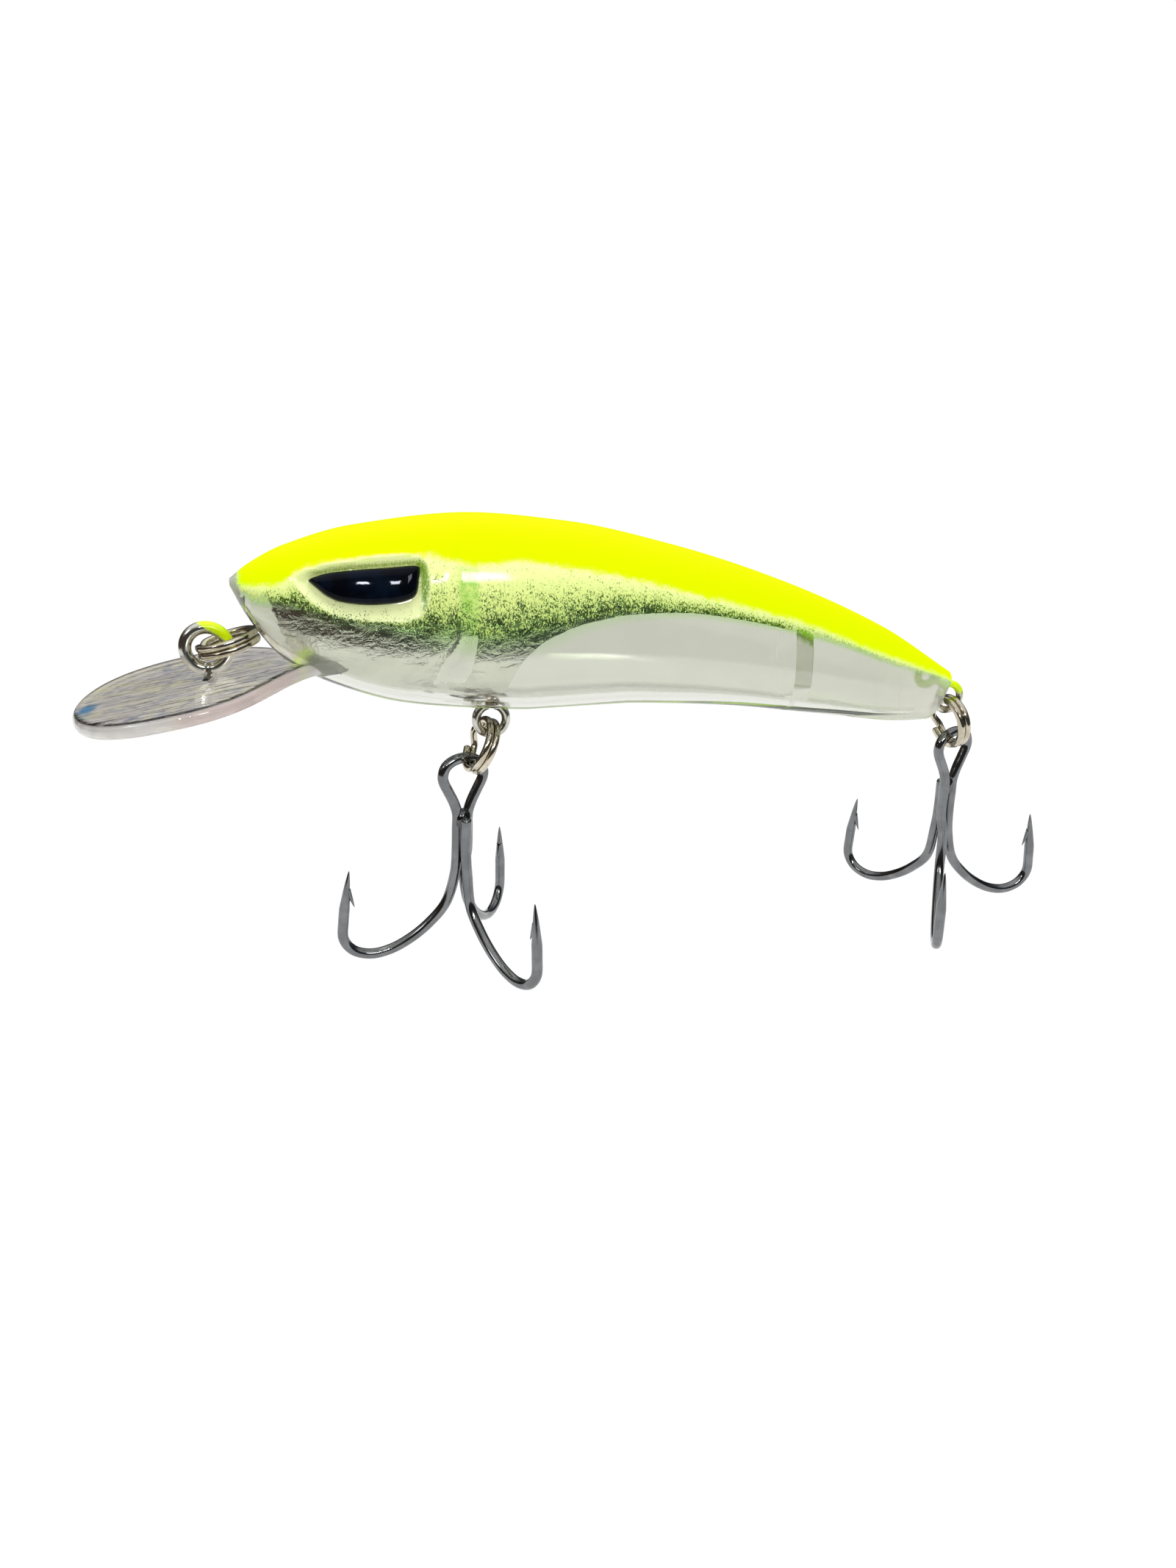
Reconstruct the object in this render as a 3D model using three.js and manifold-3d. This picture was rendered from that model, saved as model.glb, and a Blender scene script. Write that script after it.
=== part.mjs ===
// Crankbait lure: a clear two-part hollow body with mirror inserts, a diving lip,
// a wire line tie and two split-ring-hung treble hooks.
// Millimetres. The nose points to -X, the back of the fish is +Z. Everything is laid out from
// the top of the lip where the line tie's foot goes in; at the end the whole lure is moved so
// that the origin is the centre of the line tie's hole. Gravity is -Z as the lure hangs.
import * as THREE from 'three';
import { mergeVertices } from 'three/addons/utils/BufferGeometryUtils.js';
import Module from 'manifold-3d';

const wasm = await Module();
wasm.setup();
const { Manifold, Mesh: SolidMesh } = wasm;
const RAD = Math.PI / 180;

// ---------------------------------------------------------------- driving dimensions

// Body outline in the centre plane, [x, z] from the nose to the tail
const BACK_LINE = [
  [3.4, 8.6], [5.4, 10.1], [9.3, 12.0], [16.9, 13.95], [28.5, 14.95], [40.4, 13.75],
  [53, 10.75], [66.4, 6.25], [80.8, -0.25], [90.6, -6.5],
];
const KEEL_Z = -7.5;
const KEEL_X = [36, 46];
const BELLY_LINE = [
  [3.4, 7.9], [4.9, 4.7], [8.4, -0.1], [13.9, -3.3], [21.4, -5.8], [32, -7.2],
  [KEEL_X[0], KEEL_Z], [KEEL_X[1], KEEL_Z], [53, -7.95], [60, -8.65], [73.4, -10.8],
  [84, -12.4], [87.6, -12.5], [89.0, -11.6], [90.6, -8.2],
];
const HALF_WIDTH = [
  [3.4, 0.6], [6, 3.0], [10, 4.8], [15, 6.2], [22, 7.2], [30, 7.5], [40, 7.2],
  [50, 6.5], [60, 5.5], [70, 4.4], [80, 3.2], [87, 2.3], [90.6, 1.2],
];
const NOSE_X = 3.4;
const TAIL_X = 90.6;
const WIDEST_AT = 0.62;        // depth of the widest line below the back, as a share of height
const BACK_POWER = 2.1;        // how square the section is above the widest line
const BELLY_POWER = 2.3;       // and below it
const KEEL_DEPTH = 0.25;       // how much of the round belly the flat keel takes off

const WALL = 1.3;
const CAVITY_ENDS = [6.6, 89.0];
const RIB_ENDS = [5, 89.6];    // how far forward and back ribs and pegs can reach
const SEAM_GAP = 0.2;          // between the two body halves
const FIT_GAP = 0.3;           // round anything let into the body
const FOIL_GAP = 0.3;          // between wall and mirror insert
const FOIL_THICKNESS = 0.4;
const FOIL_FRONT_X = 8;
const FOIL_OUTSIDE_ENDS = [8.2, 84];
const FOIL_INSIDE_ENDS = [7.6, 86];

// Inner ribs: x from, x to, z from, z to
const RATTLE_FRONT_RIB = [14.2, 15.0, 1.4, 9.0];
const RATTLE_REAR_RIB = [31.6, 32.4, 1.4, 9.0];
const RATTLE_SHELF = [14.2, 32.4, 1.4, 2.0];
const BALLAST_FRONT_RIB = [18.4, 19.0, -7, 1.6];
const BALLAST_REAR_RIB = [27.0, 27.6, -8, 1.6];
const REAR_BULKHEAD = [68.0, 70.2, -12, 8];

const BALL_RADIUS = 2.2;
const BALL_COUNT = 3;
const BALL_PITCH = 4.5;
const LAST_BALL = new THREE.Vector3(29.3, 0, 4.25);
const BALLAST = { x: 23, z: -0.85, radius: 2.1, length: 7.4 };

// Where the mirror insert stops and the clear rear belly begins, [x, z]
const WINDOW_EDGE = [
  [31.6, -9], [32.4, -4.8], [33.3, -2.5], [34.6, -0.5], [37.8, 1.7], [41.8, 3.0],
  [47, 3.6], [53, 3.4], [59.6, 2.3], [66.5, 0.6], [67.5, 0.3],
];

const EYE = {
  x: 17.6, y: -5.6, z: 8.2, pitch: 18, yaw: 9,
  floor: -0.95, thickness: 1.2, bevel: 0.5, edgeGap: 0.12,
};
const EYE_BACKING = 0.9;       // plastic round and behind the eye's recess

const LIP = { x: 0.2, z: -2.15, pitch: 9.5, thickness: 1.5, bevel: 0.35 };
// Half the lip's outline: distance behind the line tie's foot, half-width
const LIP_OUTLINE = [
  [-14.5, 0], [-14.0, 4.8], [-12.6, 8.7], [-10.2, 11.7], [-7, 13.5], [-3, 14.1],
  [0.5, 13.8], [3, 12.7], [5.2, 10.8], [7.2, 8.3], [9, 6.0], [11, 4.4],
];
const LIP_TONGUE = [[13, 3.9], [15.4, 3.6]];

// Wire parts: centre and radius of the outer loop, wire radius, and the inner loop
const LINE_TIE = { x: 0.3, z: 1.1, loop: 2.3, wire: 0.7, footZ: -3.4 };
const BELLY_HANGER = {
  x: 31.4, z: -9.05, loop: 1.775, wire: 0.525,
  innerX: 31.4, innerZ: -4.5, inner: 1.3,
};
const TAIL_HANGER = {
  x: 90.9, z: -10.0, loop: 1.725, wire: 0.475,
  innerX: 87.2, innerZ: -7.0, inner: 1.1,
};
const PEG_RADIUS = 0.45;
const PEG_PAST_SEAM = 0.9;

// Split rings, all one size: two coils of round wire
const RING = { radius: 3.05, wire: 0.4, coilOffset: 0.42, gapAngle: 0.45, crossAngle: 0.35 };

// Treble hooks, both one size. The eye's outer top is at the hook's local origin and
// its opening faces local Y. Eye half-outline: [across, height] from shank to top.
const HOOK_WIRE = 0.65;
const SHANK_OFFSET = 0.68;
const SHANK_HEIGHTS = [-9.5, -12.5];
const EYE_LOOP = [
  [0.69, -7.7], [1.1, -6.3], [1.87, -4.7], [2.45, -3.5], [2.6, -2.7], [2.25, -1.6], [1.3, -0.9],
];
// Bend of one prong: [distance from the shank's axis, height], shank to point
const PRONG = [
  [0.8, -15.5], [1.9, -19.5], [3.9, -22.1], [6.1, -24.0], [8.6, -25.4], [11, -25.9],
  [13.1, -25.3], [14.3, -23.7], [14.3, -21.1], [13.9, -17.3], [13.55, -14.6],
];
const PRONG_ANGLES = { left: 225, right: 345, rear: 105 };
const REAR_SHANK = 1.22;       // offset of the brazed third shank
const REAR_SHANK_TOP = -8.3;
const REAR_BEND_OFFSET = 1.32; // and where its bend starts
const POINT_LENGTH = 5;
const BARB = { radius: 0.45, length: 2.0, fromPoint: 4.6, reach: 13.6, tilt: 12 };

// Where each ring passes its hanger, and how the ring and the treble below it hang
const BELLY_HANG = {
  ring: [31.4, 0, -9.4], tilt: 26, yaw: 8,
  hook: [27.95, -0.41, -12.85], turn: 196, lean: [1.2, 2.9],
};
const TAIL_HANG = {
  ring: [91.1, 0, -10.35], tilt: -10, yaw: 7.8,
  hook: [92.6, 0.1, -14.2], turn: 17.3, lean: [4.0, -1.9],
};
const LINE_RING_HANG = { ring: [-0.36, 0, 0.8], tilt: -105, yaw: 0 };

// Where each ring's wire ends meet, as a turn from its top
const LINE_RING_SPLIT = 20;
const BELLY_RING_SPLIT = 90;
const TAIL_RING_SPLIT = 100;

// ---------------------------------------------------------------- materials

function material(color, roughness, metalness, opacity = 1) {
  return new THREE.MeshStandardMaterial({
    color, roughness, metalness, opacity, transparent: opacity < 1,
  });
}
const bodyPlastic = () => material(0xdcf53c, 0.15, 0.0, 0.6);
const mirrorFoil = () => material(0xc9cdc4, 0.12, 1.0);
const lipPlastic = () => material(0xd9dcd2, 0.08, 0.0, 0.45);
const eyeResin = () => material(0x05070a, 0.05, 0.0);
const nickel = () => material(0xb3ab97, 0.22, 1.0);
const tieWire = () => material(0xb9bcae, 0.25, 1.0);
const gunmetal = () => material(0x55575a, 0.3, 1.0);
const steel = () => material(0xa8a8a8, 0.25, 1.0);

// ---------------------------------------------------------------- solids

function solidOf(geometry) {
  const bare = geometry.clone();
  bare.deleteAttribute('normal');
  bare.deleteAttribute('uv');
  const merged = mergeVertices(bare.index ? bare.toNonIndexed() : bare, 1e-4);
  return new Manifold(new SolidMesh({
    numProp: 3,
    vertProperties: new Float32Array(merged.attributes.position.array),
    triVerts: new Uint32Array(merged.index.array),
  }));
}

function geometryOf(solid) {
  const mesh = solid.getMesh();
  const geometry = new THREE.BufferGeometry();
  geometry.setAttribute('position', new THREE.BufferAttribute(new Float32Array(mesh.vertProperties), 3));
  geometry.setIndex(Array.from(mesh.triVerts));
  geometry.computeVertexNormals();
  return geometry;
}

function largestPiece(solid) {
  return solid.decompose().reduce((a, b) => (b.volume() > a.volume() ? b : a));
}

// A box given by its low and high corners
function block(low, high) {
  const size = high.map((value, i) => value - low[i]);
  const geometry = new THREE.BoxGeometry(...size);
  geometry.translate(...low.map((value, i) => value + size[i] / 2));
  return solidOf(geometry);
}

// A rod along Y
function rodAlongY(x, z, radius, yFrom, yTo) {
  const geometry = new THREE.CylinderGeometry(radius, radius, yTo - yFrom, 16);
  geometry.translate(x, (yFrom + yTo) / 2, z);
  return solidOf(geometry);
}

// ---------------------------------------------------------------- curves

// Smooth line through [x, value] points that never overshoots them
function along(points, x) {
  const last = points.length - 1;
  if (x <= points[0][0]) return points[0][1];
  if (x >= points[last][0]) return points[last][1];
  const slope = (i) => (points[i + 1][1] - points[i][1]) / (points[i + 1][0] - points[i][0]);
  const tangent = (i) => {
    if (i === 0) return slope(0);
    if (i === last) return slope(last - 1);
    const before = slope(i - 1);
    const after = slope(i);
    return before * after <= 0 ? 0 : 2 * before * after / (before + after);
  };
  let i = 0;
  while (x > points[i + 1][0]) i += 1;
  const width = points[i + 1][0] - points[i][0];
  const t = (x - points[i][0]) / width;
  const rise = t * t * (3 - 2 * t);
  return points[i][1] * (1 - rise) + points[i + 1][1] * rise
    + width * (t * (1 - t) * (1 - t) * tangent(i) - t * t * (1 - t) * tangent(i + 1));
}

// Round wire along a curve, closed at both ends; scaleAt(t) tapers it
function wire(curve, radius, steps, scaleAt = () => 1, sides = 6) {
  const frames = curve.computeFrenetFrames(steps, false);
  const position = [];
  const index = [];
  const centre = new THREE.Vector3();
  for (let i = 0; i <= steps; i += 1) {
    curve.getPointAt(i / steps, centre);
    const r = radius * scaleAt(i / steps);
    for (let j = 0; j < sides; j += 1) {
      const angle = 2 * Math.PI * j / sides;
      const point = centre.clone()
        .addScaledVector(frames.normals[i], r * Math.cos(angle))
        .addScaledVector(frames.binormals[i], r * Math.sin(angle));
      position.push(point.x, point.y, point.z);
    }
  }
  for (let i = 0; i < steps; i += 1) {
    for (let j = 0; j < sides; j += 1) {
      const a = i * sides + j;
      const b = i * sides + (j + 1) % sides;
      index.push(a, b, b + sides, a, b + sides, a + sides);
    }
  }
  const endRing = steps * sides;
  for (let j = 1; j < sides - 1; j += 1) {
    index.push(0, j + 1, j);
    index.push(endRing, endRing + j, endRing + j + 1);
  }
  const geometry = new THREE.BufferGeometry();
  geometry.setAttribute('position', new THREE.Float32BufferAttribute(position, 3));
  geometry.setIndex(index);
  return geometry;
}

// ---------------------------------------------------------------- body

// A point of the body's cross-section: angle 0 is the back, 180 the keel, +y first
function sectionPoint(x, angle, inset) {
  const top = along(BACK_LINE, x) - inset;
  const bottom = along(BELLY_LINE, x) + inset;
  const half = along(HALF_WIDTH, x) - inset;
  const waist = along(BACK_LINE, x) - WIDEST_AT * (along(BACK_LINE, x) - along(BELLY_LINE, x));
  const sine = Math.sin(angle);
  const cosine = Math.cos(angle);
  const above = cosine >= 0;
  const power = 2 / (above ? BACK_POWER : BELLY_POWER);
  const height = above ? top - waist : waist - bottom + KEEL_DEPTH;
  const y = half * Math.sign(sine) * Math.abs(sine) ** power;
  const z = waist + height * Math.sign(cosine) * Math.abs(cosine) ** power;
  return [x, y, Math.max(z, bottom)];
}

// Closed body shape, moved in from the outer surface by inset
function bodyLoft(inset, fromX, toX, stations, sides) {
  const position = [];
  const index = [];
  for (let i = 0; i <= stations; i += 1) {
    const x = fromX + (toX - fromX) * (0.5 - 0.5 * Math.cos(Math.PI * i / stations));
    for (let j = 0; j < sides; j += 1) position.push(...sectionPoint(x, 2 * Math.PI * j / sides, inset));
  }
  for (let i = 0; i < stations; i += 1) {
    for (let j = 0; j < sides; j += 1) {
      const a = i * sides + j;
      const b = i * sides + (j + 1) % sides;
      index.push(a, b + sides, b, a, a + sides, b + sides);
    }
  }
  const endRing = stations * sides;
  for (let j = 1; j < sides - 1; j += 1) {
    index.push(0, j, j + 1);
    index.push(endRing, endRing + j + 1, endRing + j);
  }
  const geometry = new THREE.BufferGeometry();
  geometry.setAttribute('position', new THREE.Float32BufferAttribute(position, 3));
  geometry.setIndex(index);
  return solidOf(geometry);
}

// The wedge-shaped eye outline in its own plane, grown by margin
function eyeShape(margin) {
  const shape = new THREE.Shape();
  const left = -6.3 - 1.6 * margin;
  const right = 5.8 + margin;
  const top = 2.2 + margin;
  const bottom = -2.0 - margin;
  shape.moveTo(left, 0.8);
  shape.quadraticCurveTo(-2, 1.9 + margin, right, top);
  shape.lineTo(right - 0.5, bottom + 0.8);
  shape.quadraticCurveTo(right - 0.6, bottom + 0.1, right - 1.4, bottom);
  shape.quadraticCurveTo(-3.6, bottom - 0.5, left, 0.8);
  return shape;
}

// Puts a shape drawn in the left eye's plane, facing outward, onto the body
function onEyePlane(geometry) {
  geometry.rotateX(Math.PI / 2 - EYE.pitch * RAD);
  geometry.rotateZ(-EYE.yaw * RAD);
  geometry.translate(EYE.x, EYE.y, EYE.z);
  return geometry;
}

function eyeBlock(margin, from, depth) {
  const geometry = new THREE.ExtrudeGeometry(eyeShape(margin), {
    depth, bevelEnabled: false, curveSegments: 6,
  });
  geometry.translate(0, 0, from);
  return solidOf(onEyePlane(geometry));
}

function eyeInsert() {
  const { bevel } = EYE;
  const geometry = new THREE.ExtrudeGeometry(eyeShape(-bevel - EYE.edgeGap), {
    depth: EYE.thickness - 2 * bevel,
    bevelThickness: bevel,
    bevelSize: bevel,
    bevelSegments: 2,
    curveSegments: 5,
  });
  geometry.translate(0, 0, EYE.floor + FIT_GAP + bevel);
  return solidOf(onEyePlane(geometry));
}

// Wire loop outside the body, a stem, and a smaller loop inside that a peg holds
function hanger(spec, grow = 0) {
  const radius = spec.wire + grow;
  const outer = new THREE.TorusGeometry(spec.loop, radius, 8, 24);
  outer.rotateX(Math.PI / 2);
  outer.translate(spec.x, 0, spec.z);
  const inner = new THREE.TorusGeometry(spec.inner, radius, 8, 16);
  inner.rotateX(Math.PI / 2);
  inner.translate(spec.innerX, 0, spec.innerZ);
  const from = new THREE.Vector3(spec.x, 0, spec.z);
  const to = new THREE.Vector3(spec.innerX, 0, spec.innerZ);
  const direction = to.clone().sub(from).normalize();
  from.addScaledVector(direction, spec.loop);
  to.addScaledVector(direction, -spec.inner);
  const stem = wire(new THREE.LineCurve3(from, to), radius, 1, undefined, 8);
  return solidOf(outer).add(solidOf(inner)).add(solidOf(stem));
}

function lineTie(grow = 0) {
  const radius = LINE_TIE.wire + grow;
  const loop = new THREE.TorusGeometry(LINE_TIE.loop, radius, 8, 24);
  loop.rotateX(Math.PI / 2);
  loop.translate(LINE_TIE.x, 0, LINE_TIE.z);
  const foot = wire(new THREE.LineCurve3(
    new THREE.Vector3(LINE_TIE.x, 0, LINE_TIE.z - LINE_TIE.loop),
    new THREE.Vector3(LINE_TIE.x, 0, LINE_TIE.footZ - grow),
  ), radius, 1, undefined, 8);
  return solidOf(loop).add(solidOf(foot));
}

function lip(grow = 0) {
  const side = LIP_OUTLINE.slice(1).map(([x, y]) => new THREE.Vector2(x, y + grow));
  const tip = new THREE.Vector2(LIP_OUTLINE[0][0] - grow, 0);
  const mirrored = side.map((p) => new THREE.Vector2(p.x, -p.y)).reverse();
  const shape = new THREE.Shape();
  shape.moveTo(mirrored[0].x, mirrored[0].y);
  shape.splineThru([...mirrored.slice(1), tip, ...side]);
  for (const [x, y] of LIP_TONGUE) shape.lineTo(x + grow, y + grow);
  for (const [x, y] of [...LIP_TONGUE].reverse()) shape.lineTo(x + grow, -y - grow);
  const bevel = grow > 0 ? 0 : LIP.bevel;
  const geometry = new THREE.ExtrudeGeometry(shape, {
    depth: LIP.thickness + 2 * grow - 2 * bevel,
    bevelEnabled: bevel > 0,
    bevelThickness: bevel,
    bevelSize: bevel,
    bevelOffset: -bevel,
    bevelSegments: 2,
    curveSegments: 2,
  });
  geometry.translate(0, 0, bevel - LIP.thickness - grow);
  geometry.rotateY(-LIP.pitch * RAD);
  geometry.translate(LIP.x, 0, LIP.z);
  return solidOf(geometry);
}

const outerBody = bodyLoft(0, NOSE_X, TAIL_X, 36, 28);
const cavity = bodyLoft(WALL, ...CAVITY_ENDS, 20, 18);
const ribStock = bodyLoft(WALL / 2, ...RIB_ENDS, 20, 18);
const foilOutside = bodyLoft(WALL + FOIL_GAP, ...FOIL_OUTSIDE_ENDS, 18, 18);
const foilInside = bodyLoft(WALL + FOIL_GAP + FOIL_THICKNESS, ...FOIL_INSIDE_ENDS, 18, 18);
const leftSide = block([-20, -20, -30], [110, -SEAM_GAP / 2, 30]);
const leftFoilSide = block([-20, -20, -30], [110, -FIT_GAP, 30]);

const lipSolid = lip();
const lipRoom = lip(FIT_GAP);
const bellyHanger = hanger(BELLY_HANGER);
const tailHanger = hanger(TAIL_HANGER);
const hangerRoom = hanger(BELLY_HANGER, FIT_GAP).add(hanger(TAIL_HANGER, FIT_GAP));

function ribs(grow) {
  const stock = [
    RATTLE_FRONT_RIB, RATTLE_REAR_RIB, RATTLE_SHELF,
    BALLAST_FRONT_RIB, BALLAST_REAR_RIB, REAR_BULKHEAD,
  ].map(([x0, x1, z0, z1]) => block([x0 - grow, -12, z0 - grow], [x1 + grow, 0, z1 + grow]));
  return stock.reduce((all, rib) => all.add(rib));
}

function pegs(grow) {
  return [BELLY_HANGER, TAIL_HANGER]
    .map(({ innerX, innerZ }) => rodAlongY(innerX, innerZ, PEG_RADIUS + grow, -8, PEG_PAST_SEAM))
    .reduce((all, peg) => all.add(peg));
}

// One body half on the -Y side: wall, moulded ribs and the eye's backing, then its recesses
function halfShell() {
  const eyeBacking = eyeBlock(EYE_BACKING, EYE.floor - 1.0, 4);
  return outerBody.subtract(cavity)
    .add(ribs(0).intersect(ribStock))
    .add(eyeBacking.intersect(outerBody))
    .intersect(leftSide)
    .subtract(eyeBlock(FIT_GAP, EYE.floor, 4))
    .subtract(lipRoom);
}

function mirrorInsert() {
  const outline = new THREE.Shape();
  outline.moveTo(FOIL_FRONT_X, 16);
  outline.lineTo(FOIL_FRONT_X, -9);
  for (const [x, z] of WINDOW_EDGE) outline.lineTo(x, z);
  outline.lineTo(WINDOW_EDGE.at(-1)[0], 16);
  const area = new THREE.ExtrudeGeometry(outline, { depth: 12, bevelEnabled: false });
  area.rotateX(Math.PI / 2);
  return foilOutside.subtract(foilInside)
    .intersect(leftFoilSide)
    .intersect(solidOf(area))
    .subtract(ribs(FIT_GAP))
    .subtract(pegs(FIT_GAP))
    .subtract(eyeBlock(EYE_BACKING + FIT_GAP, EYE.floor - 1.0 - FIT_GAP, 6))
    .subtract(lipRoom)
    .subtract(hangerRoom);
}

// ---------------------------------------------------------------- split ring

// Two flat coils of one wire, with a step across where the second coil starts
class SplitRingCurve extends THREE.Curve {
  constructor(splitAt) {
    super();
    this.splitAt = splitAt;
  }

  getPoint(t, target = new THREE.Vector3()) {
    const turn = RING.gapAngle + t * (4 * Math.PI - 2 * RING.gapAngle);
    const from = 2 * Math.PI - RING.crossAngle;
    const across = THREE.MathUtils.smoothstep(turn, from, from + 2 * RING.crossAngle);
    const angle = turn + this.splitAt;
    return target.set(
      RING.coilOffset * (2 * across - 1),
      RING.radius * Math.sin(angle),
      RING.radius * Math.cos(angle),
    );
  }
}

// A ring whose top wire is at the local origin, hanging down local Z, with its axis on X
function ringMesh(name, hang, splitAt) {
  const geometry = wire(new SplitRingCurve(splitAt * RAD), RING.wire, 44);
  geometry.translate(0, 0, -RING.radius);
  const mesh = new THREE.Mesh(geometry, nickel());
  mesh.name = name;
  mesh.position.set(...hang.ring);
  mesh.rotation.set(0, hang.tilt * RAD, hang.yaw * RAD, 'ZYX');
  return mesh;
}

// ---------------------------------------------------------------- treble hook

// Route of one prong's bend: the wire leaves the straight shank and swings out
function prongPoints(angle) {
  const direction = new THREE.Vector3(Math.cos(angle * RAD), Math.sin(angle * RAD), 0);
  return PRONG.map(([reach, height]) => direction.clone().multiplyScalar(reach).setZ(height));
}

const taperToPoint = (length) => (distance) => 0.06 + 0.94 * Math.min(1, distance / length) ** 0.75;

function barbSolid(angle, heightLow) {
  const geometry = new THREE.ConeGeometry(BARB.radius, BARB.length, 8);
  geometry.rotateX(-Math.PI / 2);
  geometry.rotateY(-BARB.tilt * RAD);
  geometry.translate(BARB.reach, 0, heightLow + BARB.length / 2);
  geometry.rotateZ(angle * RAD);
  return solidOf(geometry);
}

function hookWire(points, bothEnds, steps, angles) {
  const curve = new THREE.CatmullRomCurve3(points, false, 'centripetal');
  const length = curve.getLength();
  const taper = taperToPoint(POINT_LENGTH);
  const scaleAt = (t) => Math.min(taper((1 - t) * length), bothEnds ? taper(t * length) : 1);
  const barbLow = PRONG.at(-1)[1] - BARB.fromPoint;
  return angles.reduce(
    (solid, angle) => solid.add(barbSolid(angle, barbLow)),
    solidOf(wire(curve, HOOK_WIRE, steps, scaleAt)),
  );
}

// One wire forms the eye, both side-by-side shanks and two of the prongs
function doubleHook() {
  const shank = (side) => SHANK_HEIGHTS.map((z) => new THREE.Vector3(side * SHANK_OFFSET, 0, z));
  const loop = (side) => EYE_LOOP.map(([x, z]) => new THREE.Vector3(side * x, 0, z));
  const points = [
    ...prongPoints(PRONG_ANGLES.left).reverse(),
    ...shank(-1).reverse(),
    ...loop(-1),
    new THREE.Vector3(0, 0, -HOOK_WIRE),
    ...loop(1).reverse(),
    ...shank(1),
    ...prongPoints(PRONG_ANGLES.right),
  ];
  return hookWire(points, true, 76, [PRONG_ANGLES.left, PRONG_ANGLES.right]);
}

// The third prong is brazed into the groove behind the two shanks
function singleHook() {
  const bend = prongPoints(PRONG_ANGLES.rear);
  bend[0].setY(REAR_BEND_OFFSET);
  const points = [
    new THREE.Vector3(0, REAR_SHANK, REAR_SHANK_TOP),
    new THREE.Vector3(0, REAR_SHANK, SHANK_HEIGHTS[1]),
    ...bend,
  ];
  return hookWire(points, false, 38, [PRONG_ANGLES.rear]);
}

const doubleSolid = doubleHook();
const singleSolid = singleHook();

function treble(name, hang) {
  const group = new THREE.Group();
  group.add(part(`${name}_double`, doubleSolid, gunmetal()));
  group.add(part(`${name}_single`, singleSolid, gunmetal()));
  group.position.set(...hang.hook);
  group.rotation.set(hang.lean[0] * RAD, hang.lean[1] * RAD, hang.turn * RAD, 'XYZ');
  return group;
}

// ---------------------------------------------------------------- assembly

function part(name, solid, finish) {
  const mesh = new THREE.Mesh(geometryOf(largestPiece(solid)), finish);
  mesh.name = name;
  return mesh;
}

function ballastMesh() {
  const geometry = new THREE.CylinderGeometry(BALLAST.radius, BALLAST.radius, BALLAST.length, 20);
  geometry.rotateZ(Math.PI / 2);
  const mesh = new THREE.Mesh(geometry, steel());
  mesh.name = 'belly_ballast';
  mesh.position.set(BALLAST.x, 0, BALLAST.z);
  return mesh;
}

function rattleBall(i) {
  const mesh = new THREE.Mesh(new THREE.SphereGeometry(BALL_RADIUS, 12, 8), steel());
  mesh.name = `rattle_ball_${i + 1}`;
  mesh.position.copy(LAST_BALL);
  mesh.position.x -= BALL_PITCH * (BALL_COUNT - 1 - i);
  return mesh;
}

const shell = halfShell();
const foil = mirrorInsert();
const eye = eyeInsert();
const otherSide = (solid) => solid.mirror([0, 1, 0]);
const leftShell = shell.subtract(hangerRoom).add(pegs(0).intersect(ribStock));
const rightShell = otherSide(shell).subtract(hangerRoom).subtract(pegs(FIT_GAP));

const lure = new THREE.Group();
lure.add(part('left_shell', leftShell, bodyPlastic()));
lure.add(part('right_shell', rightShell, bodyPlastic()));
lure.add(part('left_mirror_insert', foil, mirrorFoil()));
lure.add(part('right_mirror_insert', otherSide(foil), mirrorFoil()));
lure.add(part('left_eye', eye, eyeResin()));
lure.add(part('right_eye', otherSide(eye), eyeResin()));
lure.add(part('diving_lip', lipSolid.subtract(lineTie(FIT_GAP)), lipPlastic()));
lure.add(part('line_tie_eyelet', lineTie(), tieWire()));
lure.add(part('belly_hanger', bellyHanger, tieWire()));
lure.add(part('tail_hanger', tailHanger, tieWire()));
lure.add(ballastMesh());
for (let i = 0; i < BALL_COUNT; i += 1) lure.add(rattleBall(i));
lure.add(ringMesh('line_ring', LINE_RING_HANG, LINE_RING_SPLIT));
lure.add(ringMesh('belly_ring', BELLY_HANG, BELLY_RING_SPLIT));
lure.add(ringMesh('tail_ring', TAIL_HANG, TAIL_RING_SPLIT));
lure.add(treble('belly_treble', BELLY_HANG));
lure.add(treble('tail_treble', TAIL_HANG));

const origin = new THREE.Vector3(LINE_TIE.x, 0, LINE_TIE.z);
for (const child of lure.children) child.position.sub(origin);

export default lure;
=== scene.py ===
import math

import bpy
import numpy as np
from mathutils import Matrix, Vector


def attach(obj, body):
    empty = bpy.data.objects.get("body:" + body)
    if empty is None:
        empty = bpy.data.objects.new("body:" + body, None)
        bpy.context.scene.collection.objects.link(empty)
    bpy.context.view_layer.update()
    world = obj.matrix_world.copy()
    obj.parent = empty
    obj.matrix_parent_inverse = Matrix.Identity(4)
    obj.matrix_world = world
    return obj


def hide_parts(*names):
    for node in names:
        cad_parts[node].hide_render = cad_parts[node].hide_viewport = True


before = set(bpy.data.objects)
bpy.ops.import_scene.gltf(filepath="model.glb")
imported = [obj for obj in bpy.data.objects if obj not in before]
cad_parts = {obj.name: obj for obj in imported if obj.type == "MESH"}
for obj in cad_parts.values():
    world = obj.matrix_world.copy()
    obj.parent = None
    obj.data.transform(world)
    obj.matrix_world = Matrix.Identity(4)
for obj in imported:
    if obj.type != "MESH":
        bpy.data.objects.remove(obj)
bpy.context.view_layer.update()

MM = 0.001
ORIGIN = np.array((0.3, 0.0, 1.1))  # the line tie's hole, which the row frame starts from

# ---- sizes, in mm

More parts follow.
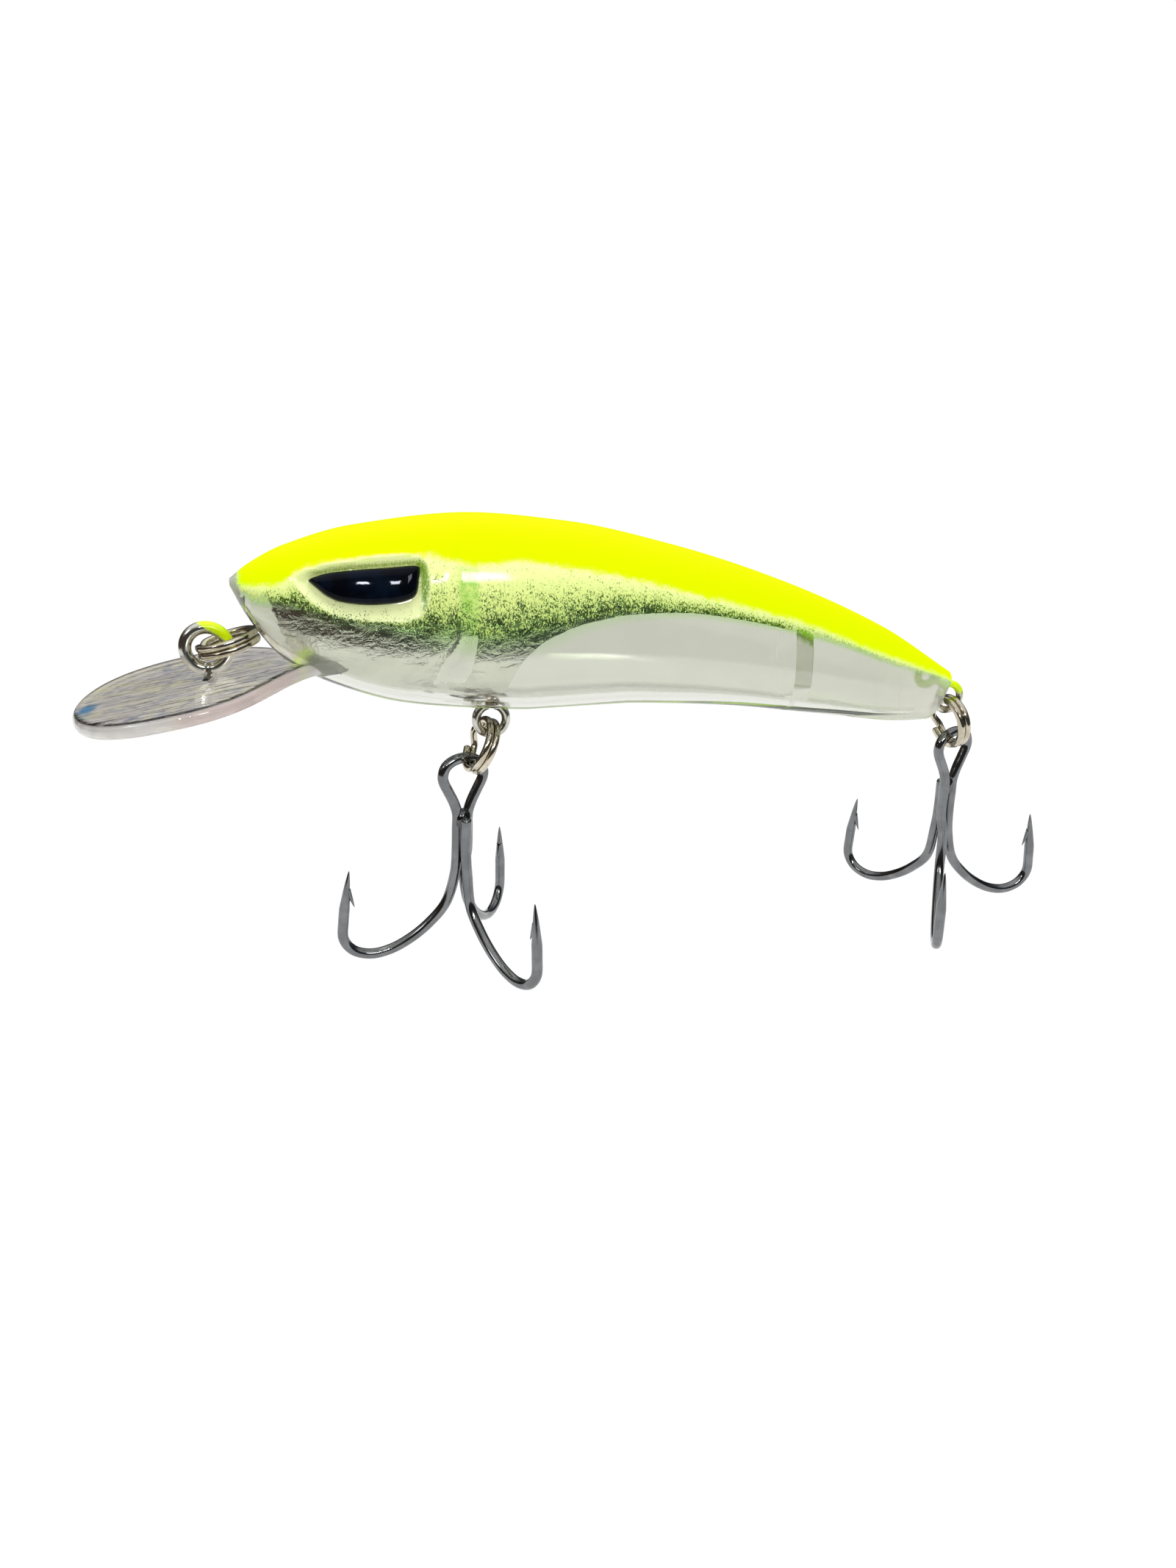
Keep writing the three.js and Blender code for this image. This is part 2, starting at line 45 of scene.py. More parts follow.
BACK_LINE = [
    (3.4, 8.6), (5.4, 10.1), (9.3, 12.0), (16.9, 13.95), (28.5, 14.95), (40.4, 13.75),
    (53, 10.75), (66.4, 6.25), (80.8, -0.25), (90.6, -6.5),
]
BELLY_LINE = [
    (3.4, 7.9), (4.9, 4.7), (8.4, -0.1), (13.9, -3.3), (21.4, -5.8), (32, -7.2),
    (36, -7.5), (46, -7.5), (53, -7.95), (60, -8.65), (73.4, -10.8), (84, -12.4),
    (87.6, -12.5), (89.0, -11.6), (90.6, -8.2),
]
HALF_WIDTH = [
    (3.4, 0.6), (6, 3.0), (10, 4.8), (15, 6.2), (22, 7.2), (30, 7.5), (40, 7.2),
    (50, 6.5), (60, 5.5), (70, 4.4), (80, 3.2), (87, 2.3), (90.6, 1.2),
]
NOSE_X, TAIL_X = 3.4, 90.6
WIDEST_AT = 0.62
BACK_POWER = 2.1
BELLY_POWER = 2.3
KEEL_DEPTH = 0.25
WALL = 1.3
FOIL_INSET = 1.6
FOIL_THICKNESS = 0.4
SEAM = 0.02

# Lower edge of the solid paint, and where the speckled paint under it ends
PAINT_LINE = [
    (3.4, 8.1), (5.2, 8.2), (6.9, 8.3), (8.5, 8.5), (9.6, 9.0), (10.6, 9.9), (14, 10.7),
    (18, 11.1), (24.2, 11.3), (29.6, 10.2), (33.7, 10.4), (38.6, 9.7), (46.2, 8.2), (53.2, 6.2),
    (59.7, 4.4), (69.3, 1.4), (79.7, -2.9), (89.9, -7.0), (90.6, -7.4),
]
FADE_LINE = [
    (3.4, 7.1), (4.4, 7.0), (5.1, 6.7), (6.2, 6.2), (8.1, 6.0), (9.4, 5.9), (11, 5.3), (14, 4.3),
    (17, 3.6), (20, 3.0), (23, 2.2), (25, 1.6), (30, 1.0), (36, 1.2), (38.5, 1.9), (41.8, 2.9),
    (47.1, 3.5), (53, 3.3), (59.6, 2.2), (66.5, 0.5), (73.6, -1.7), (81.2, -4.7), (86.4, -6.5),
    (89.1, -7.2), (90.6, -8.0),
]
# Upper edge of the clear rear belly
WINDOW_EDGE = [
    (31.6, -9), (32.4, -4.8), (33.3, -2.5), (34.6, -0.5), (37.8, 1.7), (41.8, 3.0),
    (47, 3.6), (53, 3.4), (59.6, 2.3), (66.5, 0.6), (67.5, 0.3),
]

EYE_OUTLINE = [
    (11.3, 9.0), (13.4, 9.7), (16.4, 10.0), (20.3, 10.2), (23.5, 10.4), (23.4, 9.4),
    (22.9, 7.0), (21.1, 6.4), (17.6, 6.2), (14.6, 6.6), (13.2, 7.3), (12.1, 8.3),
]
EYE_RIM = [
    (10.0, 8.8), (11.1, 9.8), (14.2, 10.5), (18, 11.0), (22.7, 11.3), (24.3, 10.6),
    (24.5, 7.8), (23.7, 5.0), (21.4, 4.3), (17.5, 4.5), (14.5, 5.0), (11.6, 6.6),
]
EYE_CENTRE = (18.0, 8.35)
SOCKET_DEPTH = 0.75
EYE_RISE = 0.2

# Gill step: front and rear edges, [z, x]
GILL_FRONT = [
    (-8, 21.4), (-4.6, 23.1), (-2.6, 24.2), (-0.1, 25.5), (2.3, 27.1), (5.5, 27.1), (9.6, 27.3),
    (16, 27.6),
]
GILL_REAR = [
    (-8, 26.0), (-4.6, 27.4), (-2.6, 28.3), (-0.2, 29.1), (2.2, 29.5), (5.3, 29.9), (9.9, 30.1),
    (16, 30.4),
]
GILL_DEPTH_UPPER, GILL_DEPTH_LOWER = 0.14, 0.62

# Ribs, the tail's bulkhead and the rattles' shelf: (front, rear, bottom, top)
HIDDEN_RIBS = [
    (14.2, 15.0, 1.4, 9.0), (31.6, 32.4, 1.4, 9.0), (18.4, 19.0, -7, 1.6), (27.0, 27.6, -8, 1.6),
]
BULKHEAD = (68.0, 70.2, -12, 8)
SHELF = (15.1, 31.5, 1.4, 2.0)

LIP_ORIGIN = (0.2, -2.15)
LIP_PITCH = math.radians(9.5)
LIP_THICKNESS = 1.5
LIP_BEVEL = 0.45
LIP_OUTLINE = [
    (-14.5, 0), (-14.0, 4.8), (-12.6, 8.7), (-10.2, 11.7), (-7, 13.5), (-3, 14.1), (0.5, 13.8),
    (3, 12.7), (5.2, 10.8), (7.2, 8.3), (9, 6.0), (11, 4.4), (13, 3.9), (15.4, 3.6),
]

TIE_HOLE, TIE_RADIUS, TIE_WIRE = (0.3, 1.1), 2.3, 0.7
# Outer loop's centre and radius, wire's radius, inner loop's centre and radius
HANGERS = {
    "belly_hanger": ((31.4, -9.05), 1.775, 0.525, (31.4, -4.5), 1.3),
    "tail_hanger": ((90.9, -10.0), 1.725, 0.475, (87.2, -7.0), 1.1),
}

RING_RADIUS = 3.05
RING_WIRE = (0.405, 0.47)
COIL_OFFSET = 0.42
RING_GAP = 0.45
RING_CROSS = 0.35
# Top of the ring, tilt about Y, yaw about Z, where its wire ends, body
RINGS = {
    "line_ring": ((-0.36, 0, 0.8), -105, 0, 20, "line_link"),
    "belly_ring": ((31.4, 0, -9.4), 26, 8, 90, "belly_link"),
    "tail_ring": ((91.1, 0, -10.35), -10, 7.8, 100, "tail_link"),
}

HOOK_WIRE = 0.65
SHANK_OFFSET = 0.68
REAR_SHANK = 1.22
REAR_BEND_OFFSET = 1.32
POINT_LENGTH = 5.0
# Wire's middle line, (distance from the shank's axis, height below the eye)
EYE_LOOP = [
    (0.69, -7.7), (1.1, -6.3), (1.87, -4.7), (2.45, -3.5), (2.6, -2.7), (2.25, -1.6), (1.3, -0.9),
]
PRONG = [
    (0.8, -15.5), (1.9, -19.5), (3.9, -22.1), (6.1, -24.0), (8.6, -25.4), (11, -25.9),
    (13.1, -25.3), (14.3, -23.7), (14.3, -21.1), (13.9, -17.3), (13.55, -14.6),
]
PRONG_ANGLES = {"left": 225, "right": 345, "rear": 105}
# Middle of the eye, turn about Z, lean about X and Y, body
TREBLES = {
    "belly": ((27.95, -0.41, -12.85), 196, (1.2, 2.9), "belly_hook"),
    "tail": ((92.6, 0.1, -14.2), 17.3, (4.0, -1.9), "tail_hook"),
}

FLOOR_X, FLOOR_Y, FLOOR_Z, FLOOR_CELLS = (-260.0, 360.0), (-135.0, 420.0), -47.0, 16
FLOOR_GLOW, ROOM_GLOW, BACKDROP_GLOW = 1.04, 1.1, 1.02
CAMERA_AT, CAMERA_TURN, CAMERA_LENS = (12.76, -130.65, 29.61), (70.4, 0, -13.1), 26.58

# ---- small geometry


def along(points, x):
    """Smooth line through (x, value) points that never overshoots them."""
    p = np.array(points, float)
    xs, vs = p[:, 0], p[:, 1]
    slope = np.diff(vs) / np.diff(xs)
    tangent = np.empty(len(xs))
    tangent[0], tangent[-1] = slope[0], slope[-1]
    product = slope[:-1] * slope[1:]
    total = slope[:-1] + slope[1:]
    tangent[1:-1] = np.where(product > 0, 2 * product / np.where(total == 0, 1, total), 0)
    x = np.clip(np.asarray(x, float), xs[0], xs[-1])
    i = np.clip(np.searchsorted(xs, x, side="right") - 1, 0, len(xs) - 2)
    width = xs[i + 1] - xs[i]
    t = (x - xs[i]) / width
    rise = t * t * (3 - 2 * t)
    return (
        vs[i] * (1 - rise) + vs[i + 1] * rise
        + width * (t * (1 - t) ** 2 * tangent[i] - t * t * (1 - t) * tangent[i + 1])
    )


def smooth(t):
    t = np.clip(t, 0, 1)
    return t * t * (3 - 2 * t)


def waist_of(x):
    back = along(BACK_LINE, x)
    return back - WIDEST_AT * (back - along(BELLY_LINE, x))


def section(x, angle, inset=0.0):
    """A point of the left side's cross-section: angle 0 is the back, pi the keel."""
    top = along(BACK_LINE, x) - inset
    bottom = along(BELLY_LINE, x) + inset
    half = along(HALF_WIDTH, x) - inset
    waist = waist_of(x)
    s, c = np.abs(np.sin(angle)), np.cos(angle)
    power = np.where(c >= 0, 2 / BACK_POWER, 2 / BELLY_POWER)
    height = np.where(c >= 0, top - waist, waist - bottom + KEEL_DEPTH)
    y = np.maximum(half, 0.05) * s ** power
    z = waist + height * np.sign(c) * np.abs(c) ** power
    return np.stack([x + 0 * y, -y, np.maximum(z, bottom)], -1)


def flank_y(x, z):
    """y of the left side's outer surface at (x, z)."""
    waist = waist_of(x)
    above = z >= waist
    power = np.where(above, 2 / BACK_POWER, 2 / BELLY_POWER)
    height = np.where(above, along(BACK_LINE, x) - waist, waist - along(BELLY_LINE, x) + KEEL_DEPTH)
    c = np.clip(np.abs(z - waist) / height, 0, 1) ** (1 / power)
    return -along(HALF_WIDTH, x) * np.sqrt(np.clip(1 - c * c, 0, 1)) ** power


def rounded(polygon, times=2):
    """The closed outline with its corners cut, so that it turns smoothly."""
    p = np.array(polygon, float)
    for _ in range(times):
        nxt = np.roll(p, -1, axis=0)
        p = np.stack([p * 0.8 + nxt * 0.2, p * 0.2 + nxt * 0.8], 1).reshape(-1, 2)
    return p


def inside_by(points, polygon):
    """Distance of each (x, z) from the outline, positive inside it."""
    a = polygon[None]
    b = np.roll(polygon, -1, axis=0)[None]
    p = points.reshape(-1, 1, 2)
    t = np.clip(((p - a) * (b - a)).sum(-1) / ((b - a) ** 2).sum(-1), 0, 1)
    near = np.sqrt((((a + t[..., None] * (b - a)) - p) ** 2).sum(-1)).min(1)
    crosses = (a[..., 1] > p[..., 1]) != (b[..., 1] > p[..., 1])
    rise = np.where(crosses, b[..., 1] - a[..., 1], 1)
    at = a[..., 0] + (p[..., 1] - a[..., 1]) / rise * (b - a)[..., 0]
    odd = (crosses & (p[..., 0] < at)).sum(1) % 2 == 1
    return (np.where(odd, 1, -1) * near).reshape(points.shape[:-1])


def normals_of(grid):
    """Outward unit normals of a left-side grid whose rows run nose to tail and columns back to keel."""
    n = np.cross(np.gradient(grid, axis=0), np.gradient(grid, axis=1))
    n /= np.maximum(np.linalg.norm(n, axis=-1, keepdims=True), 1e-9)
    middle = n[n.shape[0] // 2, n.shape[1] // 2]
    return n if middle[1] < 0 else -n


EYE_CURVE = rounded(EYE_OUTLINE)
RIM_CURVE = rounded(EYE_RIM)


def relief(x, z):
    """How far the eye socket and the gill step lie below the plain body: (socket, gill)."""
    points = np.stack([x, z], -1)
    in_rim = inside_by(points, RIM_CURVE)
    in_eye = inside_by(points, EYE_CURVE)
    share = np.where(in_eye >= 0, 1, in_rim / np.maximum(in_rim - in_eye, 1e-6))
    socket = SOCKET_DEPTH * smooth(share) - 0.10 * np.exp(-(in_rim / 0.35) ** 2)
    front = along(GILL_FRONT, z)
    rear = along(GILL_REAR, z)
    fading = smooth((z - along(BELLY_LINE, x)) / 5) * smooth((along(BACK_LINE, x) - z) / 4.5)
    low = 1 - smooth((z + 0.5) / 4.5)
    soft = 0.7 + 4.0 * (1 - smooth((z + 1.5) / 3.5))
    step = smooth((x - front + 0.25 + (soft - 0.7) / 2) / soft)
    step = step * (1 - smooth((x - front - 0.3) / (rear - front + 0.4)))
    depth = GILL_DEPTH_UPPER + (GILL_DEPTH_LOWER - GILL_DEPTH_UPPER) * low
    swell = 0.24 * np.exp(-((x - front + 1.2) / 1.1) ** 2)
    swell = swell * (1 - smooth((in_rim + 0.6) / 0.6)) * smooth((z - 1) / 3)
    return socket, (depth * step - swell) * fading


# ---- meshes


def mesh_object(name, verts, faces, materials, face_materials=None, sharp=35, values=None):
    """A mesh from points in mm. values are named numbers for each point, which materials read."""
    mesh = bpy.data.meshes.new(name)
    mesh.from_pydata(((np.asarray(verts, float) - ORIGIN) * MM).tolist(), [], faces)
    for m in materials:
        mesh.materials.append(m)
    if face_materials is not None:
        mesh.polygons.foreach_set("material_index", np.asarray(face_materials, np.int32))
    mesh.polygons.foreach_set("use_smooth", [True] * len(mesh.polygons))
    for key, numbers in (values or {}).items():
        layer = mesh.attributes.new(key, "FLOAT", "POINT")
        layer.data.foreach_set("value", np.asarray(numbers, np.float32).ravel())
    mesh.update()
    mesh.set_sharp_from_angle(angle=math.radians(sharp))
    made = bpy.data.objects.new(name, mesh)
    bpy.context.scene.collection.objects.link(made)
    return made


def place(made, body, slot, *nodes):
    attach(made, body)
    if nodes:
        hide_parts(*nodes)
    return made


def grid_faces(rows, columns, start=0, flip=False):
    i, j = np.meshgrid(np.arange(rows - 1), np.arange(columns - 1), indexing="ij")
    a = start + i * columns + j
    quads = np.stack([a, a + 1, a + columns + 1, a + columns], -1).reshape(-1, 4)
    return (quads[:, ::-1] if flip else quads).tolist()


def border_of(rows, columns, start=0):
    """The vertices round a grid, in order."""
    top = [start + j for j in range(columns)]
    right = [start + i * columns + columns - 1 for i in range(1, rows)]
    bottom = [start + (rows - 1) * columns + j for j in range(columns - 2, -1, -1)]
    left = [start + i * columns for i in range(rows - 2, 0, -1)]
    return top + right + bottom + left


def slab(outer, inner):
    """Closed solid between two matching grids: (vertices, faces, how many faces are outside)."""
    rows, columns = outer.shape[:2]
    count = rows * columns
    verts = np.concatenate([outer.reshape(-1, 3), inner.reshape(-1, 3)])
    faces = grid_faces(rows, columns)
    outside = len(faces)
    faces += grid_faces(rows, columns, count, flip=True)
    a, b = border_of(rows, columns), border_of(rows, columns, count)
    for k in range(len(a)):
        n = (k + 1) % len(a)
        faces.append([a[n], a[k], b[k], b[n]])
    return verts, faces, outside


def mirrored(verts, faces):
    return np.asarray(verts) * (1, -1, 1), [list(f)[::-1] for f in faces]


def tube_faces(rings, sides):
    """Faces of a closed tube whose vertices come ring by ring."""
    faces = []
    for i in range(rings - 1):
        for j in range(sides):
            k = (j + 1) % sides
            a, b = i * sides, (i + 1) * sides
            faces.append([a + j, a + k, b + k, b + j])
    faces.append(list(range(sides))[::-1])
    faces.append([(rings - 1) * sides + j for j in range(sides)])
    return faces


def prism_faces(n):
    """Faces between two outlines of n points each."""
    faces = [list(range(n)), list(range(2 * n - 1, n - 1, -1))]
    return faces + [[(i + 1) % n, i, n + i, n + (i + 1) % n] for i in range(n)]


def sweep(path, across, up=None, sides=20, squareness=2.0):
    """Wire with rounded ends along a path of points. across is one radius, a radius for each axis
    of the section, or a radius for each point; up is where the section's first axis points."""
    path = np.asarray(path, float)
    count = len(path)
    radii = np.asarray(across, float)
    if radii.ndim == 0:
        radii = np.full((count, 2), float(radii))
    elif radii.ndim == 1 and len(radii) == 2 and count != 2:
        radii = np.tile(radii, (count, 1))
    elif radii.ndim == 1:
        radii = np.stack([radii, radii], -1)
    tangent = np.gradient(path, axis=0)
    tangent /= np.linalg.norm(tangent, axis=1, keepdims=True)
    first = np.empty_like(path)
    if up is not None:
        first[:] = up
        first -= tangent * (first * tangent).sum(1, keepdims=True)
    else:
        guess = np.array([0, 0, 1.0]) if abs(tangent[0][2]) < 0.9 else np.array([1.0, 0, 0])
        for i in range(count):
            guess = guess - tangent[i] * (guess @ tangent[i])
            guess /= np.linalg.norm(guess)
            first[i] = guess
    first /= np.linalg.norm(first, axis=1, keepdims=True)
    second = np.cross(tangent, first)

    def end(i, direction):
        beyond = direction * tangent[i] * radii[i].min() * 0.7
        turns = np.array([0.0, 0.35, 0.65, 0.88]) * np.pi / 2
        return [(path[i] - beyond * np.cos(t), radii[i] * max(np.sin(t), 0.04), i) for t in turns]

    middle = [(path[i], radii[i], i) for i in range(count)]
    rings = end(0, 1) + middle + end(count - 1, -1)[::-1]
    angle = np.linspace(0, 2 * np.pi, sides, endpoint=False)
    c, s = np.cos(angle), np.sin(angle)
    c = np.sign(c) * np.abs(c) ** (2 / squareness)
    s = np.sign(s) * np.abs(s) ** (2 / squareness)
    verts = np.concatenate([
        centre + first[i] * (r[0] * c)[:, None] + second[i] * (r[1] * s)[:, None]
        for centre, r, i in rings
    ])
    return verts, tube_faces(len(rings), sides)


def spline(points, steps):
    """Even points along a centripetal Catmull-Rom curve."""
    p = np.asarray(points, float)
    p = np.vstack([2 * p[0] - p[1], p, 2 * p[-1] - p[-2]])
    made = []
    for i in range(1, len(p) - 2):
        knots = [0.0]
        for k in range(3):
            knots.append(knots[-1] + max(np.linalg.norm(p[i + k] - p[i + k - 1]), 1e-6) ** 0.5)
        t = np.linspace(knots[1], knots[2], 24, endpoint=False)[:, None]

        def between(start, end, low, high):
            return (high - t) / (high - low) * start + (t - low) / (high - low) * end

        a = [between(p[i - 1 + k], p[i + k], knots[k], knots[k + 1]) for k in range(3)]
        b = [between(a[k], a[k + 1], knots[k], knots[k + 2]) for k in range(2)]
        made.append(between(b[0], b[1], knots[1], knots[2]))
    made = np.vstack(made + [p[-2][None]])
    run = np.concatenate([[0], np.cumsum(np.linalg.norm(np.diff(made, axis=0), axis=1))])
    at = np.linspace(0, run[-1], steps)
    return np.stack([np.interp(at, run, made[:, k]) for k in range(3)], -1), run[-1]


def joined(*solids):
    verts, faces, start = [], [], 0
    for v, f in solids:
        verts.append(np.asarray(v, float))
        faces += [[start + i for i in face] for face in f]
        start += len(v)
    return np.concatenate(verts), faces


def cut(made, tool):
    """Takes the tool's shape out of the piece."""
    modifier = made.modifiers.new("cut", "BOOLEAN")
    modifier.operation = "DIFFERENCE"
    modifier.solver = "EXACT"
    modifier.object = tool
    bpy.context.view_layer.update()
    shaped = bpy.data.meshes.new_from_object(made.evaluated_get(bpy.context.evaluated_depsgraph_get()))
    made.modifiers.clear()
    made.data = shaped
    shaped.set_sharp_from_angle(angle=math.radians(35))
    return made


# ---- materials


class Nodes:
    """A node tree, and short names for the nodes that it's made of."""

    def __init__(self, owner):
        owner.use_nodes = True
        self.tree = owner.node_tree
        self.tree.nodes.clear()

    def put(self, socket, value):
        if isinstance(value, bpy.types.NodeSocket):
            self.tree.links.new(value, socket)
        elif isinstance(value, (tuple, list)) and len(value) == 3 and socket.type == "RGBA":
            socket.default_value = (*value, 1)
        else:
            socket.default_value = value

    def node(self, kind, inputs=(), out=0, **settings):
        """Makes a node; inputs are values or sockets for its inputs, in order."""
        n = self.tree.nodes.new("ShaderNode" + kind)
        for key, value in settings.items():
            setattr(n, key, value)
        for socket, value in zip(n.inputs, inputs):
            self.put(socket, value)
        return n.outputs[out]

    def math(self, operation, a, b=0.0):
        return self.node("Math", (a, b), operation=operation)

    def add(self, a, b):
        return self.math("ADD", a, b)

    def times(self, a, b):
        return self.math("MULTIPLY", a, b)

    def less(self, *parts):
        """1 less each of the parts."""
        left = 1.0
        for part in parts:
            left = self.math("SUBTRACT", left, part)
        return left

    def more(self, value, low, high, to_low=0.0, to_high=1.0):
        """Smooth step of a value from low to high."""
        inputs = (value, low, high, to_low, to_high)
        return self.node("MapRange", inputs, interpolation_type="SMOOTHSTEP")

    def mix(self, share, a, b, blend="MIX"):
        n = self.tree.nodes.new("ShaderNodeMix")
        n.data_type = "RGBA"
        n.blend_type = blend
        self.put(n.inputs[0], share)
        self.put(n.inputs[6], a)
        self.put(n.inputs[7], b)
        return n.outputs[2]

    def ramp(self, value, *stops):
        n = self.tree.nodes.new("ShaderNodeValToRGB")
        self.put(n.inputs[0], value)
        while len(n.color_ramp.elements) < len(stops):
            n.color_ramp.elements.new(0.5)
        for e, (position, colour) in zip(n.color_ramp.elements, stops):
            e.position = position
            e.color = (*colour, 1)
        return n.outputs[0]


class Look(Nodes):
    """A material whose coordinates are in mm."""

    def __init__(self, name):
        self.material = bpy.data.materials.new(name)
        super().__init__(self.material)
        self.out = self.tree.nodes.new("ShaderNodeOutputMaterial")
        self.shader = self.tree.nodes.new("ShaderNodeBsdfPrincipled")
        self.show(self.shader.outputs[0])
        scale = self.tree.nodes.new("ShaderNodeVectorMath")
        scale.operation = "SCALE"
        scale.inputs["Scale"].default_value = 1 / MM
        self.put(scale.inputs[0], self.node("TexCoord", out="Object"))
        self.mm = scale.outputs[0]
        self.x, self.y, self.z = self.node("SeparateXYZ", (self.mm,)).node.outputs

    def show(self, shader):
        self.put(self.out.inputs["Surface"], shader)

    def set(self, **inputs):
        for key, value in inputs.items():
            self.put(self.shader.inputs[key.replace("_", " ")], value)

    def over(self, share, inputs):
        """Lays a second shader over the first one where share is 1."""
        top = self.tree.nodes.new("ShaderNodeBsdfPrincipled")
        for key, value in inputs.items():
            self.put(top.inputs[key], value)
        self.show(self.node("MixShader", (share, self.shader.outputs[0], top.outputs[0])))

    def named(self, kind, out, inputs):
        """Makes a node whose inputs are given by name."""
        n = self.tree.nodes.new("ShaderNode" + kind)
        for key, value in inputs.items():
            self.put(n.inputs[key], value)
        return n.outputs[out]

    def stretched(self, x, y, z, turn=(0, 0, 0)):
        inputs = {"Vector": self.mm, "Scale": (x, y, z), "Rotation": turn}
        return self.named("Mapping", 0, inputs)

    def noise(self, scale, detail=2.0, rough=0.5, where=None, warp=0.0):
        return self.named("TexNoise", "Fac", {
            "Vector": self.mm if where is None else where, "Scale": scale, "Detail": detail,
            "Roughness": rough, "Distortion": warp,
        })

    def cells(self, scale):
        return self.named("TexVoronoi", "Color", {"Vector": self.mm, "Scale": scale})

    def bump(self, height, distance, strength, under=None):
        inputs = {"Strength": strength, "Distance": distance * MM, "Height": height}
        if under is not None:
            inputs["Normal"] = under
        return self.named("Bump", 0, inputs)

    def value(self, name):
        return self.node("Attribute", out="Fac", attribute_name=name)


CHARTREUSE = (0.72, 0.965, 0.0)
CREAM_LIME = (0.90, 0.96, 0.50)
SOCKET_SHADE_GREEN = (0.10, 0.26, 0.02)
GILL_GREEN = (0.26, 0.58, 0.07)
CLEAR = (0.80, 0.81, 0.745)
MILKY = (0.95, 0.94, 0.87)


def clear_plastic():
    look = Look("shell_clear")
    haze = look.noise(0.25, 3)
    fine = look.noise(6.0, 3)
    look.set(
        Base_Color=look.mix(look.more(haze, 0.3, 0.75), CLEAR, tuple(c * 0.97 for c in CLEAR)),
        Roughness=look.add(look.times(haze, 0.04), 0.04),
        Normal=look.bump(look.add(haze, look.times(fine, 0.05)), 0.04, 0.3),
        Transmission_Weight=1.0,
        IOR=1.49,
    )
    return look.material


def painted_shell():
    """Clear plastic with solid paint on the back, which breaks up into speckles down the flank."""
    look = Look("shell_paint")
    fade, solid, rim = look.value("fade"), look.value("solid"), look.value("rim")
    gill, nose = look.value("gill"), look.value("nose")
    shade, tail = look.value("shade"), look.value("tail")
    fine = look.noise(6.2, 2, 0.65, look.stretched(1.0, 1.0, 0.6))
    sparkle = look.noise(12.0, 1, 0.5)
    coarse = look.noise(0.9, 2)
    grain = look.add(look.times(fine, 0.7), look.times(sparkle, 0.3))
    off_grain, off_coarse = look.add(grain, -0.5), look.add(coarse, -0.5)
    grey = look.add(off_grain, look.times(off_coarse, 0.25))
    # solid coat
    ragged = look.add(look.times(off_coarse, 0.8), look.times(off_grain, 1.6))
    edge = look.add(solid, ragged)
    coat = look.more(edge, -0.55, 0.3)
    # speckles: the share of the surface they cover grows with fade
    share = look.add(look.times(look.more(fade, -0.05, 1.0), 0.34), 0.32)
    share = look.add(share, look.times(rim, 0.22))
    share = look.add(share, look.times(look.times(gill, look.more(fade, 0.1, 0.6)), 0.06))
    covered = look.more(look.add(share, look.times(grey, -1.5)), 0.40, 0.50)
    covered = look.times(covered, look.more(look.add(fade, look.times(rim, 0.9)), 0.0, 0.22))
    started = look.more(look.add(nose, look.times(off_grain, 1.6)), -0.2, 0.5)
    paint = look.times(look.math("MAXIMUM", coat, covered), started)
    speck = look.ramp(
        look.add(look.times(fade, 0.85), look.times(grey, -0.6)),
        (0.0, (0.18, 0.38, 0.05)), (0.2, (0.46, 0.65, 0.14)), (0.45, (0.72, 0.86, 0.27)),
        (0.8, (0.90, 0.96, 0.42)),
    )
    speck = look.mix(look.times(rim, 0.85), speck, CREAM_LIME)
    band = look.times(gill, look.more(fade, 1.05, 0.75))
    band = look.times(band, look.more(look.add(coarse, grey), 0.25, 0.65, 0.3, 0.85))
    speck = look.mix(band, speck, GILL_GREEN)
    # Painted shade: the socket's slopes that face away from the light turn dark green.
    mottle = look.more(look.add(grain, look.times(shade, 0.12)), 0.45, 0.66, 0.15, 0.95)
    speck = look.mix(look.times(shade, mottle), speck, SOCKET_SHADE_GREEN)
    colour = look.mix(coat, speck, CHARTREUSE)
    ink = look.times(look.more(fade, -0.2, 0.2), started)
    glass = look.mix(ink, look.mix(tail, CLEAR, MILKY), (0.52, 0.80, 0.32))
    glass = look.mix(look.times(rim, 0.8), glass, (0.70, 0.88, 0.28))
    colour = look.mix(paint, glass, colour)
    milky = look.times(look.less(paint), tail)
    # Painted glow: the paint gives off its own chartreuse light, strongest near the solid coat, for the
    # neon paint's bright look.
    painted_light = look.times(paint, look.more(fade, 0.3, 1.2))
    raised = look.add(look.times(paint, 0.3), look.times(grain, 0.25))
    look.set(
        Base_Color=look.mix(milky, colour, MILKY),
        Transmission_Weight=look.less(paint, look.times(milky, 0.4)),
        Roughness=look.add(look.times(coarse, 0.05), look.add(look.times(tail, 0.2), 0.04)),
        Emission_Color=look.mix(painted_light, (0, 0, 0), (0.42, 0.58, 0.0)),
        Emission_Strength=0.30,
        Normal=look.bump(raised, 0.04, 0.45, look.bump(look.noise(0.12, 2), 0.22, 0.3)),
        IOR=1.49,
    )
    # The solid coat glows as well: a painted glow in place of its neon brightness.
    look.over(look.times(coat, started), {
        "Base Color": look.mix(coarse, (0.44, 0.80, 0.0), (0.47, 0.82, 0.0)),
        "Roughness": 0.5, "Specular IOR Level": 0.05, "Specular Tint": (0.9, 1.0, 0.0, 1.0),
        "Emission Color": (0.36, 0.55, 0.0), "Emission Strength": 1.0,
    })
    return look.material


